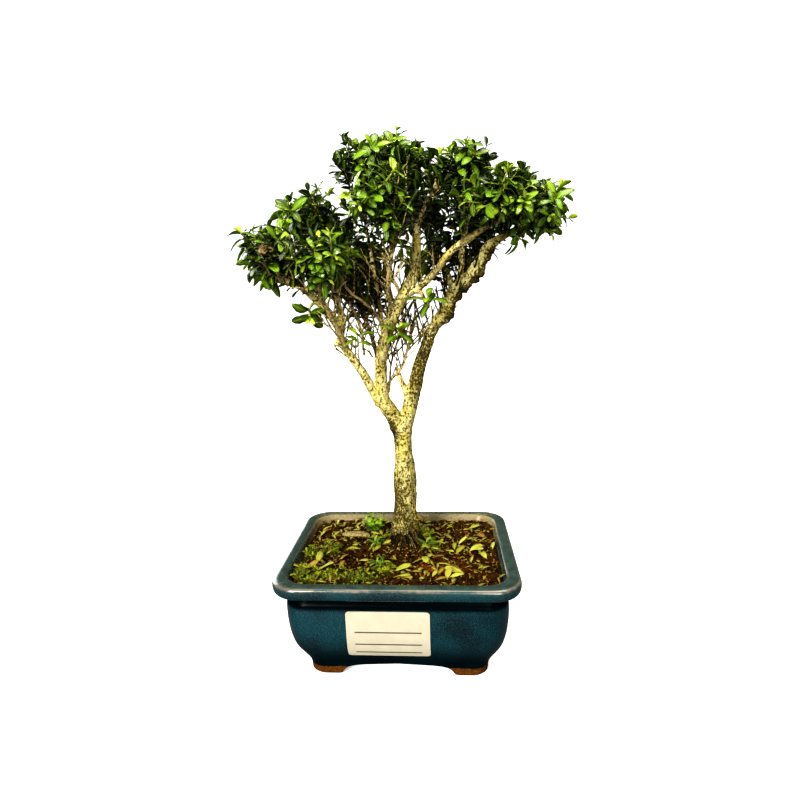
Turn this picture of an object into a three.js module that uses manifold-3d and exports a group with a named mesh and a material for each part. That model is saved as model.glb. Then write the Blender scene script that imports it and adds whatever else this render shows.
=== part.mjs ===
// A serissa bonsai in a glazed rectangular pot. Millimetres, +Z up, front towards -Y.
import * as THREE from 'three';
import { mergeVertices } from 'three/addons/utils/BufferGeometryUtils.js';
import Module from 'manifold-3d';

const wasm = await Module();
wasm.setup();

// ---------------------------------------------------------------- driving dimensions
const GAP = 0.3; // clearance between neighbouring pieces
const SEED = 41; // starts every hashed draw
const GOLDEN_ANGLE = Math.PI * (3 - Math.sqrt(5));

// Pot
const POT_WIDTH = 150;
const POT_DEPTH = 125;
const RIM_CORNER = 17; // corner radius of the rim in plan
const CORNER_TIGHTENING = 0.4; // a ring that is inset by 1 mm loses this much corner radius
const CORNER_STEPS = 4;
// Height and inset from the rim's outline, up the outside and down the inside.
const POT_OUTSIDE = [
  [0, 20.4], [1.4, 19.1], [5, 18.8], [9.5, 17.6], [15, 14.6], [22, 11.8], [30, 9.6], [38, 8.1],
  [46, 7.3], [52, 7.4], [54.5, 8.4], [58.2, 9.2], [59.2, 2.8], [60.4, 0.9], [63, 0.1], [65.6, 0.1],
  [66.9, 0.8], [67.5, 2.4],
];
const POT_INSIDE = [
  [67.4, 6.8], [66.6, 8.3], [64, 9.3], [58, 12.6], [48, 13.2], [36, 14], [26, 15.8], [19, 19], [15.5, 24],
];
const FLOOR_TOP = 15.5;
const ARCH_HEIGHT = 9; // underside of the floor between the feet
const FRONT_ARCH_SPAN = 70; // between the feet, left to right
const SIDE_ARCH_SPAN = 46; // between the feet, front to back
const DRAIN_RADIUS = 6;
const DRAIN_OFFSET = 30; // each drain hole's distance from the middle
const SCREEN_SIZE = 20;
const SCREEN_THICKNESS = 1;
const SCREEN_CELLS = 2;
const SCREEN_BAR = 1.6;

// Soil
const SOIL_EDGE = 63.6; // height of the soil along the wall
const SOIL_SIDE_STEPS = 2;
const SOIL_TOP_SCALES = [0.88, 0.7, 0.52, 0.36, 0.2];
const MOUND_HEIGHT = 8;
const MOUND_SPREAD = 13;
const SOIL_ROUGHNESS = 0.7;

// Trunk
const TRUNK_FOOT = [2.5, 12]; // where the trunk stands, left to right and front to back
// Height, radius and shift to the right of the root stock and the trunk.
const TRUNK_PROFILE = [
  [44, 5, 0], [58, 9.2, 0], [69, 10.4, 0], [75, 9.1, 0], [81, 8.4, 0.1], [89, 8, 0.3], [103, 7.7, 0.7],
  [114, 7.5, 1], [123, 6.5, 0.9], [131, 5.9, 0.5], [140, 6.1, 0.2], [147, 7.5, -1.4], [152, 4.5, -1.5],
];
const TRUNK_SIDES = 10;
const FLUTE_DEPTH = 0.1; // share of the radius that the trunk's flutes take
const FLUTE_COUNT = 5;

// Limbs: points along the axis as [x, y, z, radius], from the parent outwards.
const LIMBS = {
  left_fork: [[2, 11, 143, 6], [-5, 9, 158, 5.6], [-10.5, 7, 167.5, 5]],
  centre: [
    [-9, 7.5, 163, 4.2], [-10, 4, 184, 3.8], [-8, 1, 200, 3.6], [-5, -1, 209, 3.6], [2, -4, 225.5, 3.7],
    [10, -6, 238.5, 3.6], [14.5, -7, 248.5, 3], [15.5, -8, 260, 2.6], [15.5, -9, 275, 2.2],
  ],
  centre_left_tip: [[15.5, -9, 273, 1.9], [11, -10, 283, 1.4], [5, -6, 296, 1.1]],
  centre_right_tip: [[15.5, -9, 273, 1.9], [20.5, -12, 283, 1.5], [27, -8, 295, 1.1]],
  outer: [
    [-11, 7.5, 163, 3.8], [-21, 2, 184, 3.1], [-28, -2, 196, 2.8], [-33, -5, 205.5, 2.6],
    [-32.5, -7, 214.5, 2.4], [-32, -9, 225, 2.1],
  ],
  cut_stub: [[-32, -4.5, 204, 2.2], [-37, -6, 205.5, 2.6]],
  left_reach: [
    [-32.5, -6.5, 212, 2.2], [-39.5, -12, 224.5, 2.7], [-47.5, -16, 234, 2.5], [-53, -19, 239.5, 2],
    [-62.5, -22, 243, 1.5], [-72, -25, 246, 1.1],
  ],
  left_riser: [[-32, -9, 223, 1.7], [-34, -10, 232, 1.4], [-40, -10, 250, 1.1], [-46, -6, 264, 1]],
  right: [
    [3, 11, 144, 5.9], [8.8, 12, 163, 5.3], [13, 13, 180, 4.8], [17.8, 14, 195, 4.2], [21.5, 15, 205.5, 4],
    [24.5, 15.5, 212, 3.9], [31, 16, 221.5, 4.1], [35, 16, 230, 4.2], [40, 16, 238.5, 3.9],
  ],
  right_reach: [
    [38, 16, 236, 3.6], [49, 15, 245.5, 3.6], [55.5, 13, 255.5, 3.3], [59, 11, 262, 3], [65, 9, 266, 2.6],
    [74, 6, 270.5, 2.1], [84, 3, 275, 1.5],
  ],
  right_back: [
    [38.5, 16.5, 236, 2.7], [33.5, 24, 248, 2.3], [29, 30, 259.5, 2], [24, 35, 271, 1.6], [21, 38, 282, 1.2],
  ],
  crossing: [
    [7, -5.5, 233, 2.3], [16, -10, 237.5, 2], [26, -14, 246, 2.1], [35.5, -18, 257.5, 2.1],
    [51.5, -23, 268, 1.8], [65, -26, 275, 1.5], [76, -27, 279, 1.1],
  ],
  back_left: [
    [-9.5, 6, 177, 2], [-14, 18, 196, 1.7], [-22, 30, 218, 1.5], [-34, 40, 242, 1.3], [-43, 44, 262, 1.1],
  ],
  back_right: [[23, 15.5, 208, 1.9], [32, 26, 226, 1.7], [43, 35, 246, 1.4], [54, 40, 264, 1.1]],
  front_left: [[-30, -3, 199, 1.6], [-33, -16, 214, 1.4], [-38, -30, 230, 1.2], [-41, -38, 241, 1]],
  front_middle: [[0, -3.5, 221, 1.6], [-2, -16, 238, 1.4], [2, -28, 256, 1.2], [6, -34, 270, 1]],
  top_left: [[-7, 0, 203, 1.6], [-9, 3, 228, 1.5], [-13, 4, 256, 1.3], [-17, 3, 284, 1.1], [-18, 2, 297, 1]],
  top_right: [[42, 16, 240, 2.1], [43, 11, 258, 1.7], [44, 5, 276, 1.4], [45, 1, 292, 1.1]],
};
const THICK_LIMB_SIDES = 6;
const THIN_LIMB_SIDES = 4;
const TWIG_SIDES = 3;
const TWIG_END_RADIUS = 1;
const TIP_MARGIN = 2; // a shoot ends this far inside its head's ellipsoid
const TWIG_SPACING = 0.14; // along a limb, as a share of its length

// Leafy heads: an ellipsoid of sprays round the end of a limb.
const HEADS = [
  { limb: 'left_reach', centre: [-73, -19, 258], reach: [20, 22, 28], sprays: 4, turn: 0.7 },
  { limb: 'left_riser', centre: [-54, -1, 281], reach: [28, 24, 21], sprays: 3, turn: 6.1 },
  { limb: 'front_left', centre: [-33, -42, 252], reach: [20, 17, 19], sprays: 3, turn: 5.1 },
  { limb: 'top_left', centre: [-13, 1, 309], reach: [20, 24, 22], sprays: 3, turn: 2.6 },
  { limb: 'centre_left_tip', centre: [5, 4, 312], reach: [20, 22, 22], sprays: 3, turn: 2.2 },
  { limb: 'front_middle', centre: [-3, -40, 284], reach: [22, 17, 19], sprays: 3, turn: 5.4 },
  { limb: 'top_right', centre: [45, 2, 303], reach: [22, 26, 20], sprays: 3, turn: 4.8 },
  { limb: 'crossing', centre: [64, -35, 284], reach: [26, 16, 17], sprays: 3, turn: 4.8 },
  { limb: 'right_reach', centre: [89, 0, 280], reach: [23, 25, 20], sprays: 4, turn: 0.2 },
  { limb: 'back_left', centre: [-47, 48, 277], reach: [24, 20, 22], sprays: 3, turn: 1.9 },
  { limb: 'right_back', centre: [13, 54, 289], reach: [28, 20, 21], sprays: 3, turn: 4.5 },
  { limb: 'back_right', centre: [56, 45, 278], reach: [28, 20, 20], sprays: 3, turn: 2.9 },
];
// Single sprays: the limb, where they end, which way they point and their pairs of leaves.
const LOW_SPRAYS = [
  { limb: 'outer', share: 0.62, end: [-22, -13, 210], heading: [0.3, -0.5, 0.8], pairs: 3 },
  { limb: 'centre', share: 0.3, end: [4, -15, 212], heading: [0.5, -0.6, 0.7], pairs: 3 },
  { limb: 'crossing', share: 0.12, end: [22, -20, 232], heading: [0.1, -0.8, 0.6], pairs: 3 },
  { limb: 'left_reach', share: 0.3, end: [-50, -16, 222], heading: [-0.2, -0.35, -0.9], pairs: 4 },
  { limb: 'right_reach', share: 0.7, end: [79, 1, 265], heading: [0.8, -0.2, -0.4], pairs: 4 },
  { limb: 'centre_right_tip', share: 1, end: [30, -9, 313], heading: [0.2, -0.1, 1], pairs: 5 },
  { limb: 'top_left', share: 0.45, end: [-20, 14, 262], heading: [-0.5, 0.6, 0.6], pairs: 5 },
  { limb: 'back_left', share: 0.5, end: [-14, 32, 246], heading: [0.5, 0.5, 0.7], pairs: 5 },
  { limb: 'right_back', share: 0.35, end: [10, 26, 258], heading: [-0.6, 0.3, 0.7], pairs: 5 },
  { limb: 'back_left', share: 0.7, end: [-36, 20, 252], heading: [-0.5, -0.5, 0.7], pairs: 5 },
];
const SHOOT_RADIUS = 0.9;
const SHOOT_SIDES = 3;
const SHOOT_GAP = 0.8; // between a shoot's foot and the twig that it grows on
const LEAF_LENGTH = [11.5, 16]; // shortest and longest grown leaf
const LEAF_SLENDERNESS = 0.44; // width over length
const LEAF_THICKNESS = 1.1;
const YOUNG_LEAF_SHARE = 0.85; // length of the leaves at a shoot's tip against the grown ones
const WHORLS = 5; // pairs of leaves on a spray of a head
const ROOT_START = 0.15; // how far from the axis of its shoot a blade's root lies
const LEAF_MARGIN = 0.5; // clear space wanted round a leaf of another spray

// Label
const LABEL_LEFT = -29.5;
const LABEL_RIGHT = 20.5;
const LABEL_BOTTOM = 18.5;
const LABEL_TOP = 50.5;
const LABEL_CORNER = 2;
const LABEL_THICKNESS = 0.5;

// Things on the soil
const CHIP_PLACE = [-33, 19];
const CHIP_SIZE = [20, 7, 3.4];
const WEED_PLACE = [-20, 23];
// Fallen leaves: place left to right, place front to back, heading in degrees, length.
const FALLEN_LEAVES = [
  [-50, -34, 20, 12], [-2, -34, 15, 12], [42, -36, 170, 13], [46, -6, 35, 12],
];

const COLOURS = {
  pot: { color: '#1f4d57', roughness: 0.25 },
  drain_screen: { color: '#23272b', roughness: 0.6 },
  soil: { color: '#2e2014', roughness: 0.97 },
  bark: { color: '#b5a169', roughness: 0.85 },
  leaf: { color: '#3c6a20', roughness: 0.4 },
  label: { color: '#f2eed6', roughness: 0.55 },
  weed: { color: '#5c9a34', roughness: 0.6 },
  bark_chip: { color: '#b39a6c', roughness: 0.9 },
  fallen_leaf: { color: '#a9a540', roughness: 0.6 },
};

// ---------------------------------------------------------------- small helpers
const vec = (values) => new THREE.Vector3(values[0], values[1], values[2]);
const UP = new THREE.Vector3(0, 0, 1);

/** A draw between 0 and 1 that depends only on its keys. */
function chance(...keys) {
  let hash = SEED;
  for (const key of keys) {
    hash = Math.imul(hash ^ (key + 1), 2654435761) >>> 0;
    hash = (hash ^ (hash >>> 15)) >>> 0;
  }
  hash = Math.imul(hash, 2246822519) >>> 0;
  hash = (hash ^ (hash >>> 13)) >>> 0;
  return hash / 4294967296;
}

/** A unit vector at right angles to the axis, nearest to the wanted direction. */
function squareTo(axis, wanted) {
  const across = wanted.clone().addScaledVector(axis, -wanted.dot(axis));
  if (across.lengthSq() < 1e-6) {
    return squareTo(axis, new THREE.Vector3(axis.z, axis.x, axis.y));
  }
  return across.normalize();
}

/** An indexed geometry from points and triangles. */
function surface(points, triangles) {
  const geometry = new THREE.BufferGeometry();
  const numbers = points.flatMap((point) => [point.x, point.y, point.z]);
  geometry.setAttribute('position', new THREE.Float32BufferAttribute(numbers, 3));
  geometry.setIndex(triangles.flat());
  return geometry;
}

/** A closed skin over rings with equal counts, with a fan of triangles over each end. */
function loft(rings) {
  const count = rings[0].length;
  const points = rings.flat();
  const triangles = [];
  for (let level = 0; level < rings.length - 1; level += 1) {
    for (let i = 0; i < count; i += 1) {
      const next = (i + 1) % count;
      const low = level * count;
      const high = low + count;
      triangles.push([low + i, low + next, high + next]);
      triangles.push([low + i, high + next, high + i]);
    }
  }
  const last = (rings.length - 1) * count;
  for (let i = 1; i < count - 1; i += 1) {
    triangles.push([0, i + 1, i]);
    triangles.push([last, last + i, last + i + 1]);
  }
  return surface(points, triangles);
}

/** A solid for joining and cutting. */
function solidOf(geometry) {
  const bare = geometry.clone();
  bare.deleteAttribute('normal');
  bare.deleteAttribute('uv');
  const merged = mergeVertices(bare, 1e-4);
  const mesh = new wasm.Mesh({
    numProp: 3,
    vertProperties: new Float32Array(merged.attributes.position.array),
    triVerts: new Uint32Array(merged.index.array),
  });
  return new wasm.Manifold(mesh);
}

/** The geometry of a joined or cut solid. */
function geometryOf(solid) {
  const mesh = solid.getMesh();
  const geometry = new THREE.BufferGeometry();
  geometry.setAttribute('position', new THREE.BufferAttribute(mesh.vertProperties, 3));
  geometry.setIndex(new THREE.BufferAttribute(mesh.triVerts, 1));
  return geometry;
}

/** The largest body of a solid: sealed hollows are filled and loose scraps are left behind. */
function mainBody(solid) {
  const bodies = solid.decompose();
  return bodies.reduce((largest, body) => (body.volume() > largest.volume() ? body : largest));
}

/** All the solids joined in one. */
function join(solids) {
  return solids.reduce((whole, solid) => whole.add(solid));
}

/** Whether two solids share any space. */
function cross(first, second) {
  return first.intersect(second).volume() > 1e-6;
}

/** The box round a solid. */
function boxOf(solid) {
  const { min, max } = solid.boundingBox();
  return new THREE.Box3(vec(min), vec(max));
}

/** A finished sub-part. */
function part(name, geometry, finish) {
  const flat = geometry.index ? geometry.toNonIndexed() : geometry;
  flat.computeVertexNormals();
  const mesh = new THREE.Mesh(flat, new THREE.MeshStandardMaterial({ metalness: 0, ...COLOURS[finish] }));
  mesh.name = name;
  return mesh;
}

// ---------------------------------------------------------------- tubes
/** Rings round a smooth curve through points with radii; swell changes a radius with angle. */
function ringsAlong(points, radii, sides, stepsPerSpan, swell = () => 1) {
  const curve = new THREE.CatmullRomCurve3(points);
  const steps = (points.length - 1) * stepsPerSpan;
  const rings = [];
  let across = null;
  for (let step = 0; step <= steps; step += 1) {
    const t = step / steps;
    const tangent = curve.getTangent(t);
    across = squareTo(tangent, across ?? new THREE.Vector3(1, 0.2, 0.1));
    const side = tangent.clone().cross(across);
    const place = (radii.length - 1) * t;
    const span = Math.min(Math.floor(place), radii.length - 2);
    const radius = THREE.MathUtils.lerp(radii[span], radii[span + 1], place - span);
    const centre = curve.getPoint(t);
    const ring = [];
    for (let i = 0; i < sides; i += 1) {
      const angle = (2 * Math.PI * i) / sides;
      const size = radius * swell(angle, t);
      ring.push(centre.clone()
        .addScaledVector(across, size * Math.cos(angle))
        .addScaledVector(side, size * Math.sin(angle)));
    }
    rings.push(ring);
  }
  return rings;
}

/** A closed tapered tube. */
function tube(points, radii, sides, stepsPerSpan = 1) {
  return solidOf(loft(ringsAlong(points, radii, sides, stepsPerSpan)));
}

/** Points on a curve that leaves the start along a heading and ends at the end. */
function bentPath(start, heading, end, share = 0.4) {
  const bend = start.clone().addScaledVector(heading, share * start.distanceTo(end));
  const curve = new THREE.QuadraticBezierCurve3(start, bend, end);
  return curve.getPoints(2);
}

// ---------------------------------------------------------------- pot
/** A rounded rectangle, inset from the rim's outline, with extra points along its sides. */
function outline(inset, height, cornerSteps, sideSteps = 0) {
  const halfWidth = POT_WIDTH / 2 - inset;
  const halfDepth = POT_DEPTH / 2 - inset;
  const radius = Math.max(RIM_CORNER - CORNER_TIGHTENING * inset, 3);
  const corners = [[1, 1], [-1, 1], [-1, -1], [1, -1]];
  const ring = [];
  corners.forEach(([sideX, sideY], corner) => {
    for (let i = 0; i <= cornerSteps; i += 1) {
      const angle = (Math.PI / 2) * (corner + i / cornerSteps);
      const x = sideX * (halfWidth - radius) + radius * Math.cos(angle);
      const y = sideY * (halfDepth - radius) + radius * Math.sin(angle);
      ring.push(new THREE.Vector3(x, y, height));
    }
  });
  if (sideSteps === 0) {
    return ring;
  }
  return ring.flatMap((point, i) => {
    const next = ring[(i + 1) % ring.length];
    const isSide = i % (cornerSteps + 1) === cornerSteps;
    const extra = isSide ? sideSteps : 0;
    const between = Array.from({ length: extra }, (_, k) => point.clone().lerp(next, (k + 1) / (extra + 1)));
    return [point, ...between];
  });
}

/** A wall's inset from the rim's outline at a height, from its rising profile. */
function insetAt(profile, height) {
  const above = profile.findIndex(([level]) => level >= height);
  const [lowHeight, lowInset] = profile[above - 1];
  const [highHeight, highInset] = profile[above];
  return THREE.MathUtils.mapLinear(height, lowHeight, highHeight, lowInset, highInset);
}

/** The opening between two feet, as a solid that runs right through under the pot. */
function archCutter(span, length) {
  const half = span / 2;
  const shape = new THREE.Shape();
  shape.moveTo(-half - 1, -1);
  shape.lineTo(-half, 0.4);
  shape.quadraticCurveTo(-half + 3, ARCH_HEIGHT * 0.72, -half + 12, ARCH_HEIGHT * 0.86);
  shape.quadraticCurveTo(0, ARCH_HEIGHT * 1.14, half - 12, ARCH_HEIGHT * 0.86);
  shape.quadraticCurveTo(half - 3, ARCH_HEIGHT * 0.72, half, 0.4);
  shape.lineTo(half + 1, -1);
  const geometry = new THREE.ExtrudeGeometry(shape, { depth: length, bevelEnabled: false, curveSegments: 4 });
  geometry.translate(0, 0, -length / 2);
  geometry.rotateX(Math.PI / 2);
  return geometry;
}

/** The fired pot: rim, walls, floor with two drain holes, and four feet. */
function makePot() {
  const profile = [...POT_OUTSIDE, ...POT_INSIDE];
  let pot = solidOf(loft(profile.map(([height, inset]) => outline(inset, height, CORNER_STEPS))));
  pot = pot.subtract(solidOf(archCutter(FRONT_ARCH_SPAN, POT_DEPTH)));
  const sideArch = archCutter(SIDE_ARCH_SPAN, POT_WIDTH);
  sideArch.rotateZ(Math.PI / 2);
  pot = pot.subtract(solidOf(sideArch));
  for (const side of [-1, 1]) {
    const drain = new THREE.CylinderGeometry(DRAIN_RADIUS, DRAIN_RADIUS, 2 * FLOOR_TOP, 12);
    drain.rotateX(Math.PI / 2);
    drain.translate(side * DRAIN_OFFSET, 0, FLOOR_TOP);
    pot = pot.subtract(solidOf(drain));
  }
  return pot;
}

/** A box given by its size and the middle of its underside. */
function block(width, depth, height, x, y, z) {
  const geometry = new THREE.BoxGeometry(width, depth, height);
  geometry.translate(x, y, z + height / 2);
  return solidOf(geometry);
}

/** A square of plastic mesh over one drain hole. */
function makeDrainScreen(centreX) {
  const low = FLOOR_TOP + GAP;
  const pitch = (SCREEN_SIZE - SCREEN_BAR) / SCREEN_CELLS;
  const opening = pitch - SCREEN_BAR;
  let screen = block(SCREEN_SIZE, SCREEN_SIZE, SCREEN_THICKNESS, centreX, 0, low);
  for (let column = 0; column < SCREEN_CELLS; column += 1) {
    for (let row = 0; row < SCREEN_CELLS; row += 1) {
      const x = centreX + (column - (SCREEN_CELLS - 1) / 2) * pitch;
      const y = (row - (SCREEN_CELLS - 1) / 2) * pitch;
      screen = screen.subtract(block(opening, opening, 3 * SCREEN_THICKNESS, x, y, low - SCREEN_THICKNESS));
    }
  }
  return screen;
}

/** The sticker, a thin sheet that follows the front of the pot. */
function makeLabel() {
  const heights = [LABEL_BOTTOM, LABEL_BOTTOM + LABEL_CORNER * 0.3, LABEL_BOTTOM + LABEL_CORNER];
  heights.push(...POT_OUTSIDE.map(([height]) => height)
    .filter((height) => height > LABEL_BOTTOM + LABEL_CORNER && height < LABEL_TOP - LABEL_CORNER));
  heights.push(LABEL_TOP - LABEL_CORNER, LABEL_TOP - LABEL_CORNER * 0.3, LABEL_TOP);
  const rings = heights.map((height) => {
    const fromEnd = Math.min(height - LABEL_BOTTOM, LABEL_TOP - height, LABEL_CORNER);
    const drop = LABEL_CORNER - fromEnd;
    const pull = LABEL_CORNER - Math.sqrt(LABEL_CORNER ** 2 - drop ** 2) * 0.999;
    const back = insetAt(POT_OUTSIDE, height) - POT_DEPTH / 2 - GAP;
    const front = back - LABEL_THICKNESS;
    return [
      new THREE.Vector3(LABEL_LEFT + pull, front, height),
      new THREE.Vector3(LABEL_RIGHT - pull, front, height),
      new THREE.Vector3(LABEL_RIGHT - pull, back, height),
      new THREE.Vector3(LABEL_LEFT + pull, back, height),
    ];
  });
  return loft(rings);
}

// ---------------------------------------------------------------- soil
/** Height of the soil: level, heaped round the trunk, lower along the wall, gently rough. */
function soilHeight(x, y) {
  const away = Math.hypot(x - TRUNK_FOOT[0], y - TRUNK_FOOT[1]);
  const mound = MOUND_HEIGHT * Math.exp(-((away / MOUND_SPREAD) ** 2) / 2);
  const rough = Math.sin(0.21 * x + 0.6) * Math.cos(0.17 * y - 0.4) + 0.6 * Math.sin(0.39 * x - 0.31 * y);
  return SOIL_EDGE + mound + SOIL_ROUGHNESS * rough;
}

/** The soil, filling the pot to just below the rim. */
function makeSoil() {
  const wall = [...POT_INSIDE].reverse();
  const edgeHeight = SOIL_EDGE - SOIL_ROUGHNESS;
  const levels = wall.filter(([height]) => height < edgeHeight);
  const rings = levels.map(([height, inset], level) => {
    const rise = level === 0 ? GAP : 0;
    return outline(inset + GAP, height + rise, CORNER_STEPS, SOIL_SIDE_STEPS);
  });
  const edge = outline(insetAt(wall, edgeHeight) + GAP, edgeHeight, CORNER_STEPS, SOIL_SIDE_STEPS);
  rings.push(edge);
  for (const scale of SOIL_TOP_SCALES) {
    rings.push(edge.map((point) => {
      const x = TRUNK_FOOT[0] + scale * (point.x - TRUNK_FOOT[0]);
      const y = TRUNK_FOOT[1] + scale * (point.y - TRUNK_FOOT[1]);
      return new THREE.Vector3(x, y, soilHeight(x, y));
    }));
  }
  return solidOf(loft(rings));
}

/** A pocket in the soil that leaves the gap round one drain screen. */
function screenPocket(centreX) {
  const size = SCREEN_SIZE + 2 * GAP;
  return block(size, size, SCREEN_THICKNESS + 2 * GAP + 1, centreX, 0, FLOOR_TOP - 1);
}

// ---------------------------------------------------------------- wood
/** The trunk and its root stock, fluted towards the ground; extra widens it all round. */
function makeTrunk(extra = 0) {
  const rings = TRUNK_PROFILE.map(([height, radius, shift]) => {
    const lean = THREE.MathUtils.clamp((height - 120) / 28, 0, 1);
    const fluted = THREE.MathUtils.clamp((92 - height) / 16, 0, 1);
    return Array.from({ length: TRUNK_SIDES }, (_, i) => {
      const angle = (2 * Math.PI * i) / TRUNK_SIDES;
      const size = radius * (1 + FLUTE_DEPTH * fluted * Math.cos(FLUTE_COUNT * angle + 1)) + extra;
      const x = TRUNK_FOOT[0] + shift + size * Math.cos(angle);
      const y = TRUNK_FOOT[1] - lean + size * Math.sin(angle);
      return new THREE.Vector3(x, y, height);
    });
  });
  return solidOf(loft(rings));
}

/** One limb from its table of points, or along a path that runs on past them. */
function makeLimb(name, path = LIMBS[name].map(vec)) {
  const radii = LIMBS[name].map((row) => row[3]);
  if (path.length > radii.length) {
    radii.push(TWIG_END_RADIUS);
  }
  return tube(path, radii, radii[0] > 2.5 ? THICK_LIMB_SIDES : THIN_LIMB_SIDES);
}

/** A place on a limb's axis and the limb's direction there. */
function onLimb(name, share) {
  const curve = new THREE.CatmullRomCurve3(LIMBS[name].map(vec));
  return { point: curve.getPoint(share), heading: curve.getTangent(share) };
}

// ---------------------------------------------------------------- sprays
/** Where each spray's shoot starts and ends, and the woody twig that carries it. */
function layOutSprays() {
  const sprays = [];
  HEADS.forEach((head, headIndex) => {
    for (let i = 0; i < head.sprays; i += 1) {
      const rise = 0.88 - (i + 0.35) / head.sprays;
      const flat = Math.sqrt(1 - rise * rise);
      const angle = head.turn + i * GOLDEN_ANGLE;
      const ray = new THREE.Vector3(flat * Math.cos(angle), flat * Math.sin(angle), rise);
      const centre = vec(head.centre);
      const shell = vec(head.reach).subScalar(TIP_MARGIN).multiply(ray);
      const end = centre.clone().add(shell);
      const start = centre.clone().addScaledVector(shell, 0.3).addScaledVector(UP, -3);
      const share = 1 - TWIG_SPACING * i;
      const key = headIndex * 8 + i;
      const leads = i === 0;
      sprays.push({ limb: head.limb, leads, share, start, end, heading: ray, key, pairs: WHORLS });
    }
  });
  LOW_SPRAYS.forEach((low, i) => {
    const heading = vec(low.heading).normalize();
    const end = vec(low.end);
    const start = end.clone().addScaledVector(heading, -9);
    const key = 120 + i;
    sprays.push({ ...low, leads: false, start, end, heading, key });
  });
  return sprays;
}

/** The wood that ends at the foot of a spray: its limb running on to it, or a twig of its own. */
function carrierPath(spray) {
  if (spray.leads) {
    return [...LIMBS[spray.limb].map(vec), spray.start];
  }
  const root = onLimb(spray.limb, spray.share);
  return bentPath(root.point, root.heading, spray.start, 0.45);
}

/** The green shoot of a spray, from just past the wood that carries it. */
function shootPath(spray, carrier) {
  const heading = new THREE.CatmullRomCurve3(carrier).getTangent(1);
  const foot = spray.start.clone().addScaledVector(heading, SHOOT_GAP);
  return bentPath(foot, heading.lerp(spray.heading, 0.3).normalize(), spray.end, 0.5);
}

/** A blade with a raised midrib: a pointed root, two flat-based sections and a tip. */
function blade(foot, heading, face, length, width, thickness) {
  const side = face.clone().cross(heading);
  const curl = (share) => -0.16 * length * share * share;
  const section = (share, halfWidth, height) => {
    const centre = foot.clone()
      .addScaledVector(heading, length * share)
      .addScaledVector(face, curl(share) - height / 2);
    return [
      centre.clone().addScaledVector(side, halfWidth),
      centre.clone().addScaledVector(face, height),
      centre.clone().addScaledVector(side, -halfWidth),
    ];
  };
  const root = foot.clone().addScaledVector(heading, ROOT_START);
  const tip = foot.clone().addScaledVector(heading, length).addScaledVector(face, curl(1));
  const near = section(0.28, 0.41 * width, thickness);
  const far = section(0.7, 0.46 * width, thickness * 0.9);
  const triangles = [];
  for (let i = 0; i < 3; i += 1) {
    const next = (i + 1) % 3;
    triangles.push([0, 1 + next, 1 + i]);
    triangles.push([1 + i, 1 + next, 4 + next]);
    triangles.push([1 + i, 4 + next, 4 + i]);
    triangles.push([4 + i, 4 + next, 7]);
  }
  return solidOf(surface([root, ...near, ...far, tip], triangles));
}

/** The two leaves of one pair: foot, heading, face and length of each. */
function leafPair(spray, whorl, node, axis) {
  const turn = (whorl * Math.PI) / 2 + spray.key + 0.5 * chance(spray.key, whorl, 3);
  const first = squareTo(axis, UP);
  const second = axis.clone().cross(first);
  return [0, 1].map((half) => {
    const draw = (salt) => chance(spray.key, whorl, half, salt);
    const angle = turn + half * Math.PI + 0.5 * (draw(1) - 0.5);
    const out = first.clone().multiplyScalar(Math.cos(angle)).addScaledVector(second, Math.sin(angle));
    const spread = (whorl === 0 ? 0.75 : 1.1) + 0.35 * draw(2);
    const heading = axis.clone().multiplyScalar(Math.cos(spread)).addScaledVector(out, Math.sin(spread));
    const face = squareTo(heading, axis.clone().addScaledVector(UP, 0.6));
    const grown = whorl === 0 ? YOUNG_LEAF_SHARE : 1;
    const length = grown * THREE.MathUtils.lerp(LEAF_LENGTH[0], LEAF_LENGTH[1], draw(4));
    return { foot: node.clone(), heading, face, length };
  });
}

/** Every leaf that a spray carries, in crosswise pairs from the tip of its shoot down. */
function leavesOf(spray, path) {
  const curve = new THREE.CatmullRomCurve3(path);
  const leaves = [];
  for (let whorl = 0; whorl < spray.pairs; whorl += 1) {
    const share = 0.95 - (0.8 * whorl) / WHORLS;
    leaves.push(...leafPair(spray, whorl, curve.getPoint(share), curve.getTangent(share)));
  }
  return leaves;
}

/** A leaf as a solid; margin makes it larger all round. */
function leafSolid(leaf, margin = 0) {
  const length = leaf.length + margin;
  const width = leaf.length * LEAF_SLENDERNESS + 2 * margin;
  return blade(leaf.foot, leaf.heading, leaf.face, length, width, LEAF_THICKNESS + 2 * margin);
}

// ---------------------------------------------------------------- things on the soil
/** Raises a solid until it lies just clear on the ground. */
function settle(solid, ground) {
  const step = 0.2;
  let lifted = solid;
  while (cross(lifted, ground)) {
    lifted = lifted.translate([0, 0, step]);
  }
  return lifted.translate([0, 0, GAP]);
}

/** A split piece of bark with slanted ends. */
function makeChip() {
  const [length, width, height] = CHIP_SIZE;
  const sections = [[-0.5, 0.35], [-0.3, 0.9], [0.1, 1], [0.38, 0.75], [0.5, 0.3]];
  const rings = sections.map(([along, share], i) => {
    const x = along * length;
    const lean = 0.6 * Math.sin(i * 2.1);
    const half = (width / 2) * share;
    const top = height * (0.55 + 0.45 * share);
    return [[half, 0], [half * 0.8, top * 0.7], [-half * 0.3, top], [-half, top * 0.4], [-half * 0.7, 0]]
      .map(([y, z]) => new THREE.Vector3(x, y + lean, z));
  });
  const geometry = loft(rings);
  geometry.rotateZ(-0.12);
  geometry.translate(CHIP_PLACE[0], CHIP_PLACE[1], SOIL_EDGE - 1);
  return solidOf(geometry);
}

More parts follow.
